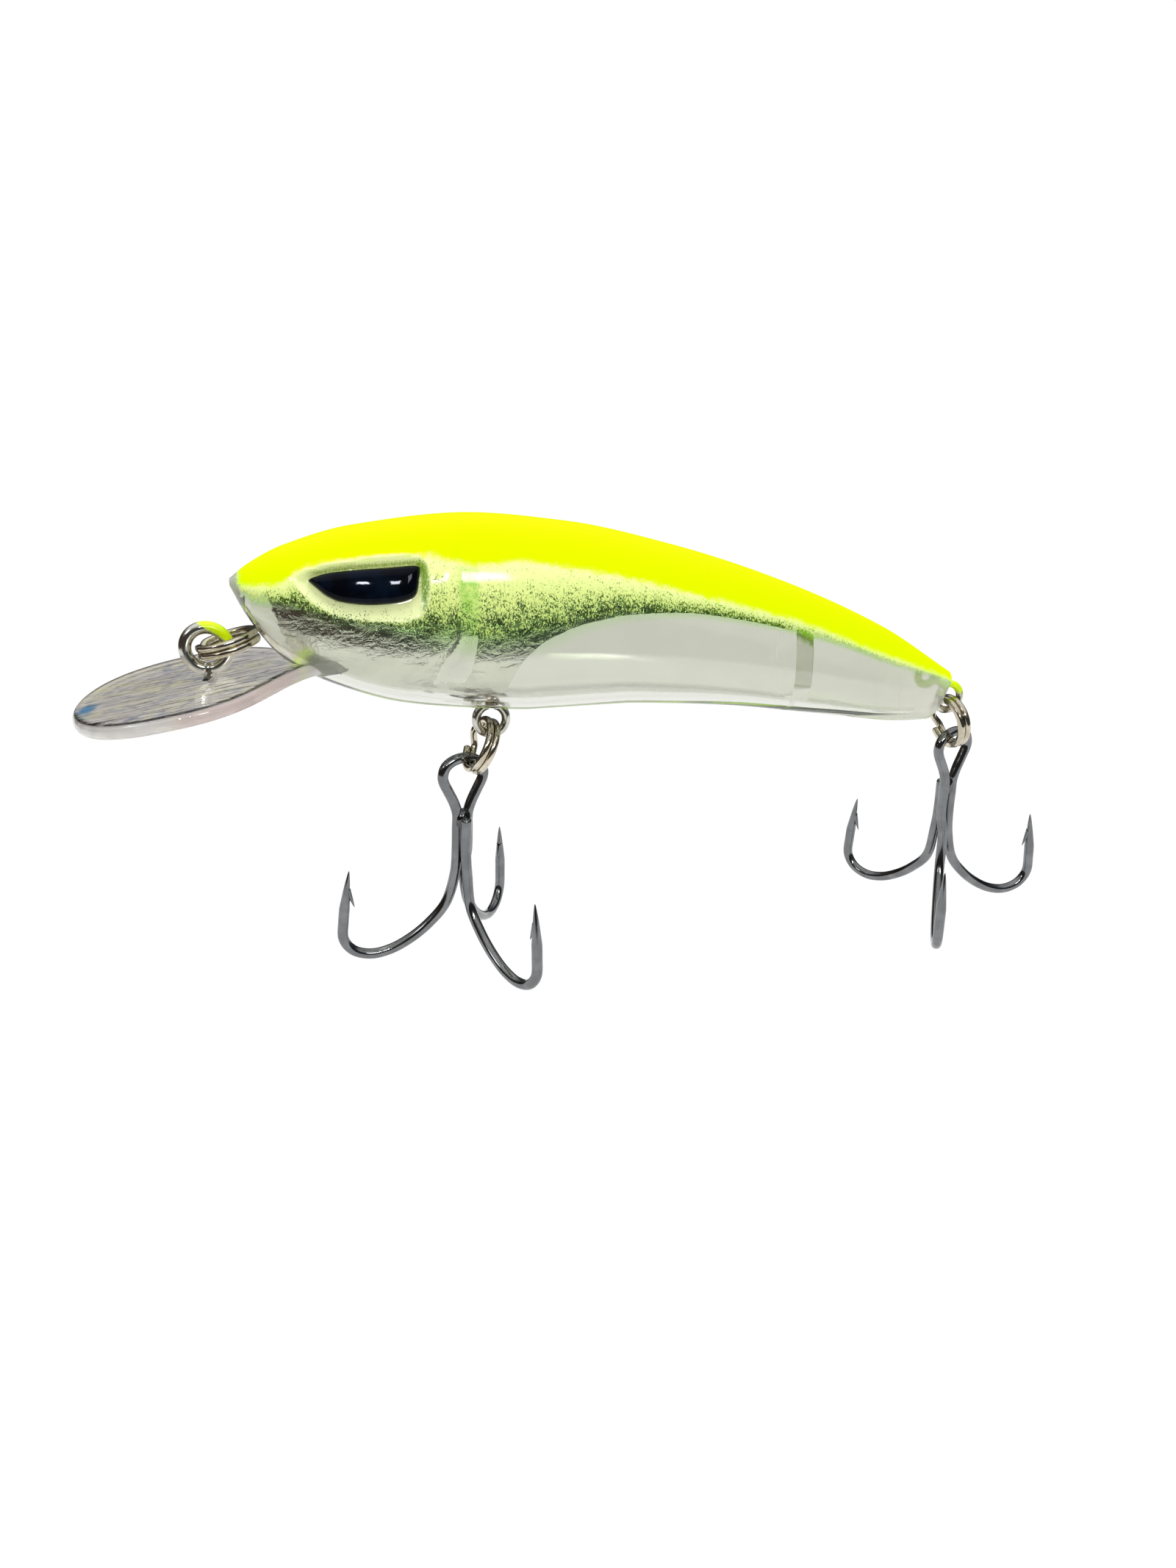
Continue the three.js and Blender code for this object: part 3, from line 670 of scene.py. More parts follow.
def mirror_foil():
    look = Look("mirror_foil")
    # Painted reflection: over the marked parts the foil is made less metallic and rougher, and glows
    # white along its crinkles.
    ragged = look.times(look.add(look.noise(1.6, 3, 0.6), -0.5), 0.9)
    painted_reflection = look.more(look.add(look.value("painted_reflection"), ragged), 0.42, 0.58)
    creases = look.noise(0.55, 4, 0.6, look.stretched(1.0, 1.0, 1.8), warp=0.6)
    crinkle = look.noise(2.2, 3, 0.7, look.stretched(1.3, 1.0, 0.8))
    dull = look.noise(0.3, 3)
    height = look.add(creases, look.times(crinkle, 0.30))
    painted_light = look.times(painted_reflection, look.more(creases, 0.2, 0.5, 0.75, 1.0))
    look.set(
        Base_Color=look.mix(look.more(dull, 0.35, 0.7), (0.92, 0.93, 0.88), (0.84, 0.85, 0.80)),
        Metallic=look.less(look.times(painted_reflection, 0.85)),
        Roughness=look.add(look.times(painted_reflection, 0.4), look.add(look.times(dull, 0.08), 0.05)),
        Emission_Color=look.mix(painted_light, (0, 0, 0), (1.0, 0.99, 0.93)),
        Emission_Strength=0.42,
        Normal=look.bump(height, 0.24, 0.8),
    )
    return look.material


def wire_metal(name, light, dark, rough, oversprayed=None):
    """Drawn and plated wire with faint stains. Where it's oversprayed, chartreuse starts between
    two heights, which fall by so much for each mm along x."""
    look = Look(name)
    stain = look.noise(0.5, 3, 0.55)
    fine = look.noise(7.0, 2, 0.5)
    plate = look.add(look.times(stain, 0.85), look.times(fine, 0.15))
    colour = look.mix(look.more(plate, 0.35, 0.7), dark, light)
    metallic = 1.0
    if oversprayed is not None:
        along_x, low, high = oversprayed
        ragged = look.times(look.add(fine, -0.5), 0.8)
        height = look.add(look.add(look.times(look.x, along_x), look.z), ragged)
        over = look.more(height, low, high)
        colour, metallic = look.mix(over, colour, CHARTREUSE), look.less(over)
    look.set(
        Base_Color=colour,
        Metallic=metallic,
        Roughness=look.add(look.times(stain, 0.10), rough),
        Normal=look.bump(look.add(look.times(fine, 0.35), stain), 0.02, 0.2),
    )
    return look.material


def eye_black():
    look = Look("eye_black")
    deep = look.noise(0.4, 2)
    dust = look.noise(12.0, 2)
    look.set(
        Base_Color=look.mix(
            look.more(deep, 0.35, 0.7), (0.001, 0.0015, 0.003), (0.002, 0.005, 0.012),
        ),
        Roughness=look.add(look.times(look.more(dust, 0.6, 0.75), 0.06), 0.03),
        Normal=look.bump(look.noise(0.35, 2), 0.08, 0.25),
        Specular_IOR_Level=0.2,
        Specular_Tint=(0.42, 0.44, 0.50, 1.0),
    )
    return look.material


def lip_clear():
    """Clear sheet with drawn streaks and faint yellow and blue-grey stains, with painted reflections: a
    small blue patch near the tip and a pink tint on the near side's lower edge.
    """
    look = Look("lip_clear")
    along_lip = look.stretched(0.16, 1.1, 1.0, (0, 0, math.radians(-6)))
    streaks = look.noise(0.7, 3, 0.55, along_lip)
    wide = look.noise(0.35, 3, 0.6, look.stretched(0.35, 1.0, 1.0))
    spots = look.noise(0.42, 3, 0.6, warp=0.4)
    blot = look.cells(0.20)
    tint = look.mix(look.more(streaks, 0.38, 0.66), (0.70, 0.655, 0.62), (0.98, 0.95, 0.91))
    tint = look.mix(look.more(wide, 0.48, 0.62, 0.0, 0.8), tint, (0.90, 0.87, 0.60))
    tint = look.mix(look.more(spots, 0.56, 0.64, 0.0, 0.85), tint, (0.40, 0.43, 0.53))
    x, y = look.x, look.y
    # Painted reflection: a small blue patch near the tip.
    dx, dy = look.add(x, 12.6), look.add(y, 2.6)
    far = look.math("SQRT", look.add(look.times(dx, dx), look.times(look.times(dy, dy), 0.35)))
    far = look.add(far, look.times(look.add(spots, -0.5), 1.6))
    tint = look.mix(look.more(far, 1.3, 0.5), tint, (0.10, 0.34, 0.66))
    # Chartreuse patches near the root.
    mottle = look.more(look.add(spots, look.times(streaks, 0.4)), 0.62, 0.72)
    root_chartreuse = look.times(look.more(x, 8.2, 9.6), mottle)
    tint = look.mix(look.times(root_chartreuse, 0.9), tint, (0.72, 0.93, 0.22))
    root = look.more(x, 9.6, 11.4)
    tint = look.mix(root, tint, (0.93, 0.94, 0.86))
    edge = look.value("edge")
    # Painted reflection: a pink tint along the bevel on the near side, towards the tip.
    pink_reflection = look.times(edge, look.times(look.more(x, -4.0, -1.0), look.more(y, -3.0, -7.0)))
    tint = look.mix(look.times(edge, 0.55), tint, (0.80, 0.785, 0.765))
    tint = look.mix(look.times(pink_reflection, 0.8), tint, (0.72, 0.57, 0.54))
    look.set(
        Base_Color=tint,
        Roughness=look.add(look.times(look.more(streaks, 0.45, 0.75), 0.12), 0.04),
        Normal=look.bump(look.add(streaks, look.times(blot, 0.05)), 0.10, 0.35),
        Transmission_Weight=look.less(look.times(look.math("MAXIMUM", edge, root), 0.7)),
        IOR=1.585,
    )
    return look.material


# ---- body


def stations(low, high):
    """x along the body, close together round the eye and the gill step."""
    return np.concatenate([
        np.linspace(low, 9.0, 18, endpoint=False),
        np.linspace(9.0, 31.5, 90, endpoint=False),
        np.linspace(31.5, 84.0, 76, endpoint=False),
        np.linspace(84.0, high, 18),
    ])


def side_grid(inset, low, high, socket_share, columns=92):
    """The left side's surface, inset by so much, with its ends closed in the seam plane."""
    x = stations(low, high)
    angle = np.linspace(0, np.pi, columns)
    grid = section(x[:, None], angle[None, :], inset)
    socket, gill = relief(grid[..., 0], grid[..., 2])
    depth = socket_share * socket + gill
    facing = np.abs(normals_of(grid)[..., 1:2])
    grid = grid - normals_of(grid) * (depth[..., None] * smooth(facing * 2.5))
    grid[..., 1] = np.minimum(grid[..., 1], -SEAM)
    ends = grid[[0, -1]].copy()
    ends[..., 1] = -SEAM
    grid[:, 0, 1] = -SEAM
    grid[:, -1, 1] = -SEAM
    return np.concatenate([ends[:1], grid, ends[1:]])


def painted_socket_shade(points, in_rim):
    """Painted shade on the socket's slopes that face away from the light: behind the eye and close
    above it.
    """
    in_eye = inside_by(points, EYE_CURVE)
    behind = smooth((points[:, 0] - 23.0) / 0.7) * smooth((points[:, 1] - 4.6) / 1.2)
    above = np.exp(-(in_eye / 0.42) ** 2) * smooth((points[:, 1] - 8.8) / 0.8) * 0.8
    return np.clip(behind + above, 0, 1) * smooth((in_rim + 0.1) / 0.4)


def paint_values(grid):
    x, z = grid[..., 0].ravel(), grid[..., 2].ravel()
    upper, lower = along(PAINT_LINE, x), along(FADE_LINE, x)
    points = np.stack([x, z], -1)
    in_rim = inside_by(points, RIM_CURVE)
    front, rear = along(GILL_FRONT, z), along(GILL_REAR, z)
    solid = z - upper
    on_rim = np.minimum(solid, -0.6 * smooth((in_rim + 0.3) / 0.3))
    return {
        "solid": np.where(in_rim > -0.3, on_rim, solid),
        "fade": (z - lower) / (upper - lower),
        "rim": smooth((in_rim + 0.25) / 0.5),
        "gill": smooth((x - front) / 0.6) * smooth((rear - x) / 0.8),
        "nose": x - NOSE_X - 0.85,
        "shade": painted_socket_shade(points, in_rim),
        "tail": np.maximum(0.8 * smooth((x - 76) / 12), smooth((5.0 - x) / 0.9)),
    }


def rib_solid(x0, x1, z0, z1, inset):
    """A cross rib in the left half, as wide as the body's inside at that inset."""
    angle = np.linspace(0, np.pi, 40)
    ring = section(np.full(40, (x0 + x1) / 2), angle, inset)
    ring = ring[(ring[:, 2] > z0) & (ring[:, 2] < z1)]
    top, bottom = min(z1, ring[:, 2].max()), max(z0, ring[:, 2].min())
    y_top = np.interp(-top, -ring[:, 2], ring[:, 1])
    y_bottom = np.interp(-bottom, -ring[:, 2], ring[:, 1])
    outline = np.concatenate([
        [[-SEAM, top]], [[y_top, top]], ring[:, 1:], [[y_bottom, bottom]], [[-SEAM, bottom]],
    ])
    keep = [0]
    for i in range(1, len(outline)):
        if np.linalg.norm(outline[i] - outline[keep[-1]]) > 0.02:
            keep.append(i)
    outline = outline[keep]
    n = len(outline)
    verts = np.concatenate([
        np.column_stack([np.full(n, x0), outline]), np.column_stack([np.full(n, x1), outline]),
    ])
    return verts, prism_faces(n)


def shelf_solid(x0, x1, z0, z1, inset):
    x = np.linspace(x0, x1, 12)
    edge = section(x, np.full(12, np.pi / 2 - 0.02), inset)[:, 1]
    outline = [(a, -SEAM) for a in x] + [(a, b) for a, b in zip(x[::-1], edge[::-1])]
    n = len(outline)
    verts = [(a, b, z0) for a, b in outline] + [(a, b, z1) for a, b in outline]
    return np.array(verts), prism_faces(n)


def foil_grid(inset):
    """The mirror insert's surface: the front of the body, down to the clear window's edge."""
    x = np.concatenate([
        np.linspace(5.7, 31.4, 118), np.linspace(31.5, 34.6, 24), np.linspace(34.9, 67.5, 48),
    ])
    low = np.where(x < 31.45, -20.0, along(WINDOW_EDGE, x))
    columns = 84
    grid = np.empty((len(x), columns, 3))
    fine = np.linspace(0, np.pi, 400)
    stop = np.empty(len(x))
    for i, (at, end) in enumerate(zip(x, low)):
        inside = section(np.full(400, at), fine, inset)[:, 2] >= end
        stop[i] = fine[max(np.nonzero(inside)[0].max(), 6)]
    # the lower edge leaves the keel gradually, so that the rows stay alike
    start, end = 29.6, 32.6
    leaving = np.interp(x, [start, end], [np.pi, np.interp(end, x, stop)])
    stop = np.where(x > end, stop, np.minimum(stop, leaving))
    for i, (at, end) in enumerate(zip(x, low)):
        grid[i] = section(np.full(columns, at), np.linspace(0, stop[i], columns), inset)
        grid[i, :, 2] = np.maximum(grid[i, :, 2], end)
    socket, gill = relief(grid[..., 0], grid[..., 2])
    normal = normals_of(grid)
    facing = smooth(np.abs(normal[..., 1:2]) * 2.5)
    grid = grid - normal * ((0.3 * socket + gill)[..., None] * facing)
    grid[..., 1] = np.minimum(grid[..., 1], -0.15)
    return grid


def foil_values(grid):
    """Where the foil carries a painted reflection, whitened and matt: in front, and on the gill step's
    lower part, which faces down to the white floor.
    """
    x, z = grid[..., 0].ravel(), grid[..., 2].ravel()
    front, rear = along(GILL_FRONT, z), along(GILL_REAR, z)
    gill_floor_reflection = smooth((x - front + 0.1) / 0.5) * smooth((rear + 0.2 - x) / 0.5)
    gill_floor_reflection = gill_floor_reflection * smooth((2.6 - z) / 0.6) * smooth((z + 4.2) / 2.4)
    # The front of the foil carries the painted reflection too, back to a slanted line.
    nose = 1 - smooth((x - 7.0 - 0.35 * (4.5 - z)) / 2.4)
    return {"painted_reflection": np.maximum(gill_floor_reflection, nose)}


def eye_solid():
    """Domed insert that fills the socket."""
    outline = EYE_CURVE
    rings = np.concatenate([np.linspace(0, 0.25, 7, endpoint=False), np.linspace(0.25, 1, 9)])
    centre = np.array(EYE_CENTRE)
    flat = np.concatenate([outline * (1 - r) + centre * r for r in rings[:-1]] + [centre[None]])
    n = len(outline)
    y = flank_y(flat[:, 0], flat[:, 1])
    e = 0.01
    slope_x = (flank_y(flat[:, 0] + e, flat[:, 1]) - flank_y(flat[:, 0] - e, flat[:, 1])) / (2 * e)
    slope_z = (flank_y(flat[:, 0], flat[:, 1] + e) - flank_y(flat[:, 0], flat[:, 1] - e)) / (2 * e)
    normal = np.stack([slope_x, -np.ones_like(y), slope_z], -1)
    normal /= np.linalg.norm(normal, axis=1, keepdims=True)
    inside = np.maximum(inside_by(flat, outline), 0)
    inside[:n] = 0
    height = np.sqrt(np.clip(1 - (1 - np.clip(inside / 1.0, 0, 1)) ** 2, 0, 1))
    rise = -SOCKET_DEPTH + 0.08 + (SOCKET_DEPTH - 0.08 + EYE_RISE) * height
    top = np.stack([flat[:, 0], y, flat[:, 1]], -1) + normal * rise[:, None]
    skirt = np.stack([outline[:, 0], y[:n], outline[:, 1]], -1) - normal[:n] * (SOCKET_DEPTH + 0.3)
    verts = np.concatenate([top, skirt])
    faces = []
    for r in range(len(rings) - 2):
        for j in range(n):
            k = (j + 1) % n
            faces.append([r * n + j, (r + 1) * n + j, (r + 1) * n + k, r * n + k])
    tip = (len(rings) - 1) * n
    last = (len(rings) - 2) * n
    for j in range(n):
        faces.append([last + j, tip, last + (j + 1) % n])
    base = tip + 1
    for j in range(n):
        k = (j + 1) % n
        faces.append([j, k, base + k, base + j])
    faces.append([base + j for j in range(n)])
    return verts, faces


def outward(verts, faces):
    """Faces turned so that the solid's volume is positive."""
    v = np.asarray(verts, float)
    volume = 0.0
    for f in faces:
        a = v[f[0]]
        for i in range(1, len(f) - 1):
            volume += a @ np.cross(v[f[i]], v[f[i + 1]])
    return (verts, faces) if volume > 0 else (verts, [list(f)[::-1] for f in faces])


def lip_frame(points):
    """From the lip's own plane (distance behind the foot, across, up) to the row frame."""
    p = np.asarray(points, float)
    c, s = math.cos(LIP_PITCH), math.sin(LIP_PITCH)
    x, y, z = p[:, 0], p[:, 1], p[:, 2]
    return np.stack([LIP_ORIGIN[0] + x * c - z * s, y, LIP_ORIGIN[1] + x * s + z * c], -1)


def lip_solid(grow=0.0):
    """The lip, larger all round by grow, and how far each point is on its edge."""
    half = np.array([(x, y, 0) for x, y in LIP_OUTLINE], float)
    half = np.vstack([[half[1] * (1, -1, 1)], half])
    curve, _ = spline(half, 130)
    curve = curve[np.argmin(np.abs(curve[:, 1]) + (curve[:, 0] > 0) * 9):]
    curve[0, 1] = 0
    outline = np.vstack([curve, curve[::-1][:-1] * (1, -1, 1)])[:, :2]
    tangent = np.roll(outline, -1, axis=0) - np.roll(outline, 1, axis=0)
    tangent /= np.linalg.norm(tangent, axis=1, keepdims=True)
    outwards = np.stack([tangent[:, 1], -tangent[:, 0]], -1)
    if (outwards * outline).sum(1).mean() < 0:
        outwards = -outwards
    middle = -LIP_THICKNESS / 2
    turns = np.pi * np.arange(9) / 8
    rings = [(grow - LIP_BEVEL * (1 - np.sin(t)), middle + (grow - middle) * np.cos(t)) for t in turns]
    flat = -LIP_BEVEL - 0.9
    rings = [(flat, grow)] + rings + [(flat, -LIP_THICKNESS - grow)]
    n = len(outline)
    shapes = [np.column_stack([outline + outwards * o, np.full(n, z)]) for o, z in rings]
    verts = lip_frame(np.concatenate(shapes))
    edge = np.repeat([0, 0, 0.6, 1, 1, 1, 1, 1, 0.8, 0, 0], n)
    return (*outward(verts, tube_faces(len(shapes), n)), edge)


def loop_path(centre, radius, start, end, steps):
    """Arc in the centre plane; angles in degrees from +X towards +Z."""
    angle = np.radians(np.linspace(start, end, steps))
    return np.stack([
        centre[0] + radius * np.cos(angle), np.zeros(steps), centre[1] + radius * np.sin(angle),
    ], -1)


def eyelet_wire():
    """One wire: up from its foot, then round the loop back to where it started."""
    loop = loop_path(TIE_HOLE, TIE_RADIUS, -85, 265, 90)
    loop[:, 1] += np.linspace(-0.04, 0.04, 90)
    foot = np.stack([np.linspace(0.3, 0.42, 12), np.full(12, -0.04), np.linspace(-3.4, -1.4, 12)], -1)
    path = np.vstack([foot, loop])
    path, _ = spline(path[::3], 160)
    return sweep(path, TIE_WIRE, up=(0, 1, 0), sides=26)


def hanger_wire(outer, radius, wire, inner, inner_radius):
    """Outer loop, stem and the smaller inner loop that anchors it."""
    outer, inner = np.array(outer, float), np.array(inner, float)
    direction = inner - outer
    base = math.degrees(math.atan2(direction[1], direction[0]))
    big = loop_path(outer, radius, base + 14, base + 346, 70)
    small = loop_path(inner, inner_radius, base + 180 + 20, base + 180 - 320, 50)
    path = np.vstack([big[::2], small[::2]])
    path[:, 1] += np.linspace(-0.03, 0.03, len(path))
    path, _ = spline(path, 220)
    return sweep(path, wire, up=(0, 1, 0), sides=22)


def turned(points, tilt, yaw, at):
    """Turned about Y by tilt, then about Z by yaw, and moved."""
    m = Matrix.Rotation(math.radians(yaw), 3, "Z") @ Matrix.Rotation(math.radians(tilt), 3, "Y")
    return np.asarray(points) @ np.array(m).T + np.array(at)


def leaning(points, turn, lean, at):
    """Turned about Z, then leant about Y and X, and moved."""
    m = Matrix.Rotation(math.radians(lean[0]), 3, "X") @ Matrix.Rotation(math.radians(lean[1]), 3, "Y")
    m = m @ Matrix.Rotation(math.radians(turn), 3, "Z")
    return np.asarray(points) @ np.array(m).T + np.array(at)


def split_ring(split_at):
    """Two flat coils of one wire, its top at the origin and its axis on X."""
    turn = np.linspace(RING_GAP, 4 * np.pi - RING_GAP, 240)
    across = smooth((turn - (2 * np.pi - RING_CROSS)) / (2 * RING_CROSS))
    angle = turn + math.radians(split_at)
    y, z = RING_RADIUS * np.sin(angle), RING_RADIUS * (np.cos(angle) - 1)
    path = np.stack([COIL_OFFSET * (2 * across - 1), y, z], -1)
    return sweep(path, RING_WIRE, up=(1, 0, 0), sides=22, squareness=2.6)


def taper(distance):
    return 0.05 + 0.95 * np.clip(distance / POINT_LENGTH, 0, 1) ** 0.72


def prong_points(angle):
    a = math.radians(angle)
    return [(r * math.cos(a), r * math.sin(a), h) for r, h in PRONG]


def barb(angle):
    """Spur cut up from the inside of the point; its free end looks down into the bend."""
    a = math.radians(angle)
    out = np.array([math.cos(a), math.sin(a), 0.0])
    t = np.linspace(0, 1, 9)[:, None]
    path = out * (13.72 - 0.75 * t) + (0, 0, -17.1) - t * (0, 0, 2.3)
    return sweep(path, 0.34 * (1 - t[:, 0]) ** 0.8 + 0.03, sides=12)


def hook_wires():
    shank = [(SHANK_OFFSET, 0, -9.5), (SHANK_OFFSET, 0, -12.5)]
    loop = [(x, 0, z) for x, z in EYE_LOOP]
    left = [(-x, y, z) for x, y, z in loop]
    left_shank = [(-x, y, z) for x, y, z in shank]
    points = (
        prong_points(PRONG_ANGLES["left"])[::-1] + left_shank[::-1] + left + [(0, 0, -HOOK_WIRE)]
        + loop[::-1] + shank + prong_points(PRONG_ANGLES["right"])
    )
    path, length = spline(points, 420)
    run = np.linspace(0, length, 420)
    double = sweep(path, HOOK_WIRE * np.minimum(taper(run), taper(length - run)), sides=18)
    rear = prong_points(PRONG_ANGLES["rear"])
    rear[0] = (rear[0][0], REAR_BEND_OFFSET, rear[0][2])
    path, length = spline([(0, REAR_SHANK, -8.3), (0, REAR_SHANK, -12.5)] + rear, 260)
    single = sweep(path, HOOK_WIRE * taper(length - np.linspace(0, length, 260)), sides=18)
    return double, single


def braze_blob():
    """Lump of braze that fills the groove where the shanks meet under the eye."""
    rings, sides = 20, 32
    verts = []
    for i in range(rings + 1):
        t = i / rings
        z = -6.9 - 3.0 * t
        swell = math.sin(math.pi * t) ** 0.5
        for j in range(sides):
            a = 2 * math.pi * j / sides
            lumpy = 1 + 0.09 * math.sin(2 * a + 3 * t) + 0.05 * math.sin(5 * a + 9 * t)
            radius = swell * lumpy
            verts.append((radius * math.cos(a), 0.30 + 1.02 * radius * math.sin(a), z))
    return outward(verts, tube_faces(rings + 1, sides))


def braze_fillet():
    """Braze drawn down the grooves between the three shanks."""
    path = [(0, 0.42, z) for z in np.linspace(-8.5, -14.2, 20)]
    radii = 0.62 * (1 - np.linspace(0, 1, 20) ** 4) + 0.05
    return sweep(np.array(path), radii, sides=18)


paint = painted_shell()
clear = clear_plastic()
foil_look = mirror_foil()
lip_look = lip_clear()
eye_look = eye_black()
STAINLESS = (0.70, 0.70, 0.62), (0.50, 0.49, 0.42), 0.10
tie_look = wire_metal("tie_wire", (0.74, 0.74, 0.69), (0.55, 0.55, 0.50), 0.10, (0.75, 2.1, 2.6))
hanger_looks = {
    "belly_hanger": wire_metal("hanger_wire", *STAINLESS),
    "tail_hanger": wire_metal("tail_wire", *STAINLESS, (0.0, -10.9, -10.2)),
}
ring_look = wire_metal("ring_nickel", (0.72, 0.66, 0.54), (0.50, 0.45, 0.35), 0.07)
hook_look = wire_metal("hook_gunmetal", (0.24, 0.245, 0.25), (0.17, 0.175, 0.18), 0.07)
braze_look = wire_metal("braze_dark", (0.20, 0.205, 0.21), (0.10, 0.10, 0.105), 0.03)
steel_look = wire_metal("ballast_steel", (0.50, 0.50, 0.50), (0.32, 0.32, 0.32), 0.2)

foil_tool = mesh_object("foil_tool", *lip_solid(0.12)[:2], [])
shell_tool = mesh_object("shell_tool", *lip_solid(0.02)[:2], [])

outer = side_grid(0.0, NOSE_X, TAIL_X, 1.0)
inner = side_grid(WALL, 5.2, 89.0, 0.2)
verts, faces, outside = slab(outer, inner)
values = paint_values(outer)
for key in values:
    values[key] = np.concatenate([values[key], np.zeros(len(values[key]))])
behind_foil = FOIL_INSET + FOIL_THICKNESS + 0.1
ribs = joined(
    *[rib_solid(*r, behind_foil) for r in HIDDEN_RIBS],
    rib_solid(*BULKHEAD, WALL + 0.04), shelf_solid(*SHELF, behind_foil),
)
for side, flip in (("left", False), ("right", True)):
    v, f = joined((verts, faces), ribs)
    if flip:
        v, f = mirrored(v, f)
    extra = len(v) - len(verts)
    numbers = {k: np.concatenate([n, np.zeros(extra)]) for k, n in values.items()}
    shell = mesh_object(
        f"{side}_shell_half", v, f, [paint, clear],
        [0] * outside + [1] * (len(f) - outside), values=numbers,
    )
    cut(shell, shell_tool)
    place(shell, "lure_body", "clear_body", f"{side}_shell")

foil_outer, foil_inner = foil_grid(FOIL_INSET), foil_grid(FOIL_INSET + FOIL_THICKNESS)
foil_verts, foil_faces, _ = slab(foil_outer, foil_inner)
foil_numbers = {k: np.tile(n, 2) for k, n in foil_values(foil_outer).items()}
eye_verts, eye_faces = outward(*eye_solid())
for side, flip in (("left", False), ("right", True)):
    v, f = mirrored(foil_verts, foil_faces) if flip else (foil_verts, foil_faces)
    foil = mesh_object(f"{side}_foil", v, f, [foil_look], values=foil_numbers)
    cut(foil, foil_tool)
    place(foil, "lure_body", "mirror_foil", f"{side}_mirror_insert")
    v, f = mirrored(eye_verts, eye_faces) if flip else (eye_verts, eye_faces)
    dome = mesh_object(f"{side}_eye_dome", v, f, [eye_look], sharp=60)
    place(dome, "lure_body", "eye_resin", f"{side}_eye")

bpy.data.objects.remove(foil_tool)
bpy.data.objects.remove(shell_tool)

lip_verts, lip_faces, lip_edge = lip_solid()
lip = mesh_object(
    "lip_plate", lip_verts, lip_faces, [lip_look], sharp=28, values={"edge": lip_edge},
)
place(lip, "lure_body", "clear_lip", "diving_lip")

loop = mesh_object("line_tie_loop", *eyelet_wire(), [tie_look], sharp=60)
place(loop, "lure_body", "tie_wire", "line_tie_eyelet")
for name, sizes in HANGERS.items():
    loop = mesh_object(f"{name}_loop", *hanger_wire(*sizes), [hanger_looks[name]], sharp=60)
    place(loop, "lure_body", "tie_wire", name)

for name, (at, tilt, yaw, split_at, body) in RINGS.items():
    v, f = split_ring(split_at)
    coil = mesh_object(f"{name}_coil", turned(v, tilt, yaw, at), f, [ring_look], sharp=60)
    place(coil, body, "ring_nickel", name)

double, single = hook_wires()
for name, (at, turn, lean, body) in TREBLES.items():
    double_all = joined(double, barb(PRONG_ANGLES["left"]), barb(PRONG_ANGLES["right"]))
    single_all = joined(single, barb(PRONG_ANGLES["rear"]))
    for what, solid, node, look in (
        ("double", double_all, f"{name}_treble_double", hook_look),
        ("single", single_all, f"{name}_treble_single", hook_look),
        ("braze", joined(braze_blob(), braze_fillet()), None, braze_look),
    ):
        v, f = solid
        made = mesh_object(f"{name}_hook_{what}", leaning(v, turn, lean, at), f, [look], sharp=60)
        place(made, body, "hook_gunmetal", *([node] if node else []))

for name in ("belly_ballast", "rattle_ball_1", "rattle_ball_2", "rattle_ball_3"):
    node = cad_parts[name]
    node.data.materials.clear()
    node.data.materials.append(steel_look)

# ---- studio

floor_look = Look("floor_pale")
floor_look.set(
    Base_Color=floor_look.mix(floor_look.noise(0.01, 2), (0.91, 0.91, 0.90), (0.93, 0.93, 0.925)),
    Roughness=0.9,
)
glow = floor_look.node("Emission", ((1, 1, 1), FLOOR_GLOW))
light_path = floor_look.node("LightPath").node
direct = floor_look.math("LESS_THAN", light_path.outputs["Glossy Depth"], 1.5)
once = floor_look.math("LESS_THAN", light_path.outputs["Diffuse Depth"], 0.5)
glowing = floor_look.times(floor_look.times(direct, once), 0.9)
floor_look.show(floor_look.node("MixShader", (glowing, floor_look.shader.outputs[0], glow)))
floor_x = np.linspace(*FLOOR_X, FLOOR_CELLS + 1)
floor_y = np.linspace(*FLOOR_Y, FLOOR_CELLS + 1)
floor_verts = [(x, y, FLOOR_Z) for x in floor_x for y in floor_y]
floor_faces = grid_faces(FLOOR_CELLS + 1, FLOOR_CELLS + 1, flip=True)
mesh_object("floor", floor_verts, floor_faces, [floor_look.material])

world = bpy.data.worlds.new("studio")
bpy.context.scene.world = world
studio = Nodes(world)
world_out = studio.tree.nodes.new("ShaderNodeOutputWorld")
path = studio.node("LightPath").node
direction = studio.node("SeparateXYZ", (studio.node("TexCoord", out="Generated"),)).node.outputs
height = studio.add(studio.times(direction[2], 0.5), 0.5)
level = studio.ramp(
    height,
    (0.0, (0.80, 0.79, 0.76)), (0.30, (0.70, 0.68, 0.64)), (0.345, (0.07, 0.07, 0.07)),
    (0.66, (0.05, 0.05, 0.05)), (0.76, (0.22, 0.22, 0.22)), (0.86, (0.85, 0.85, 0.84)),
    (1.0, (1.0, 1.0, 1.0)),
)
tone = studio.ramp(
    studio.add(studio.times(direction[0], 0.5), 0.5),
    (0.05, (1.0, 0.78, 0.62)), (0.30, (1.0, 0.74, 0.62)), (0.48, (0.72, 0.95, 1.0)),
    (1.0, (0.9, 0.95, 1.0)),
)
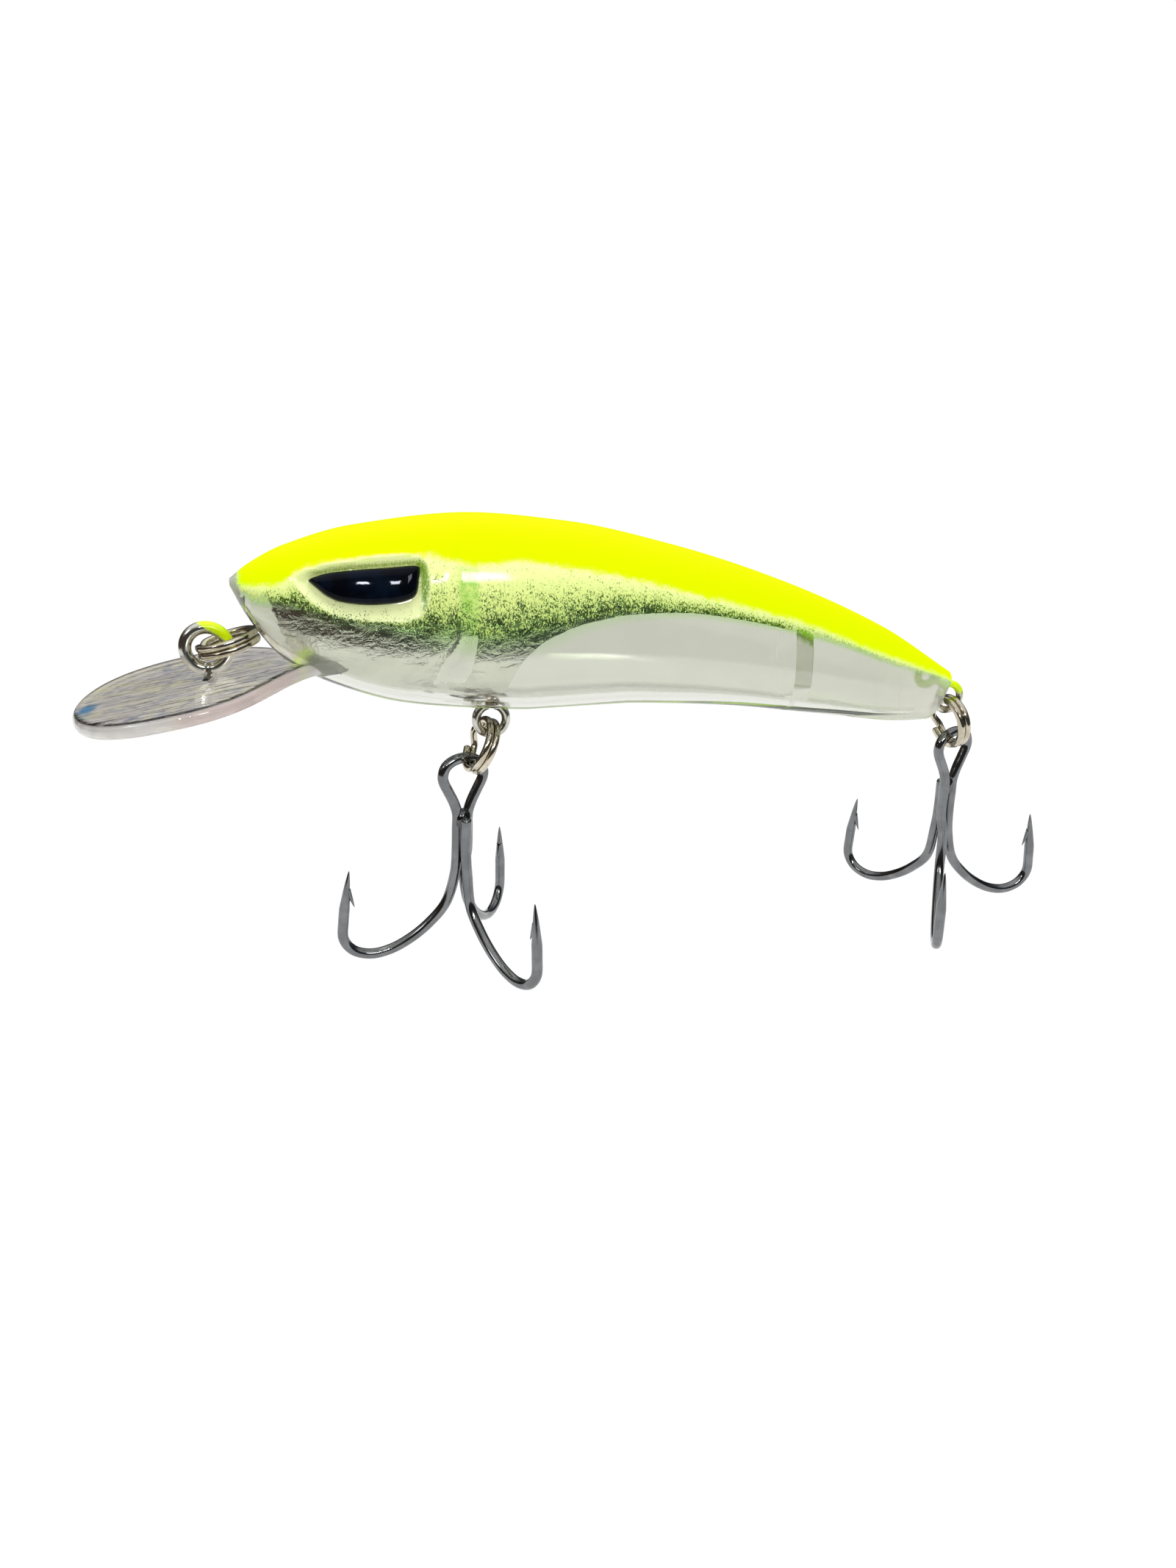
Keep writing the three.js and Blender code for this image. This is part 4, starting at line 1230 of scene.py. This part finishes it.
dark = studio.ramp(
    height, (0.31, (0, 0, 0)), (0.35, (1, 1, 1)), (0.66, (1, 1, 1)), (0.76, (0, 0, 0)),
)
room = studio.node("Background", (studio.mix(dark, level, tone, "MULTIPLY"), ROOM_GLOW))
backdrop = studio.node("Background", ((1, 1, 1), BACKDROP_GLOW))
plain = studio.math("LESS_THAN", path.outputs["Glossy Depth"], 0.5)
plain = studio.times(plain, studio.math("LESS_THAN", path.outputs["Diffuse Depth"], 0.5))
plain = studio.times(plain, path.outputs["Is Transmission Ray"])
seen = studio.math("MAXIMUM", plain, path.outputs["Is Camera Ray"])
studio.put(world_out.inputs[0], studio.node("MixShader", (seen, room, backdrop)))


def softbox(name, at, target, width, depth, power):
    data = bpy.data.lights.new(name, "AREA")
    data.shape = "RECTANGLE"
    data.size, data.size_y = width * MM, depth * MM
    data.energy = power
    lamp = bpy.data.objects.new(name, data)
    bpy.context.scene.collection.objects.link(lamp)
    lamp.location = (Vector(at) - Vector(ORIGIN)) * MM
    lamp.rotation_mode = "QUATERNION"
    lamp.rotation_quaternion = (Vector(target) - Vector(at)).to_track_quat("-Z", "Y")
    return lamp


softbox("key", (70, -340, 192), (28, 0, 5), 120, 46, 0.30)
softbox("lamp_front", (-71, -336, 175), (18, 0, 5), 9, 12, 0.055)
softbox("lamp_side", (-20, -344, 177), (18, 0, 5), 18, 14, 0.09)
softbox("top", (60, 20, 420), (45, 0, 0), 420, 300, 1.2).visible_glossy = False
softbox("fill", (-260, -160, 180), (20, 0, 0), 90, 60, 0.12)

bpy.context.scene.view_settings.view_transform = "Standard"
bpy.context.scene.view_settings.look = "None"

camera_data = bpy.data.cameras.new("camera")
camera_data.sensor_fit = "AUTO"
camera_data.sensor_width = 36
camera_data.lens = CAMERA_LENS
camera_data.clip_start = 0.005
camera_data.clip_end = 20
camera = bpy.data.objects.new("camera", camera_data)
bpy.context.scene.collection.objects.link(camera)
camera.location = (Vector(CAMERA_AT) - Vector(ORIGIN)) * MM
camera.rotation_euler = [math.radians(a) for a in CAMERA_TURN]
bpy.context.scene.camera = camera
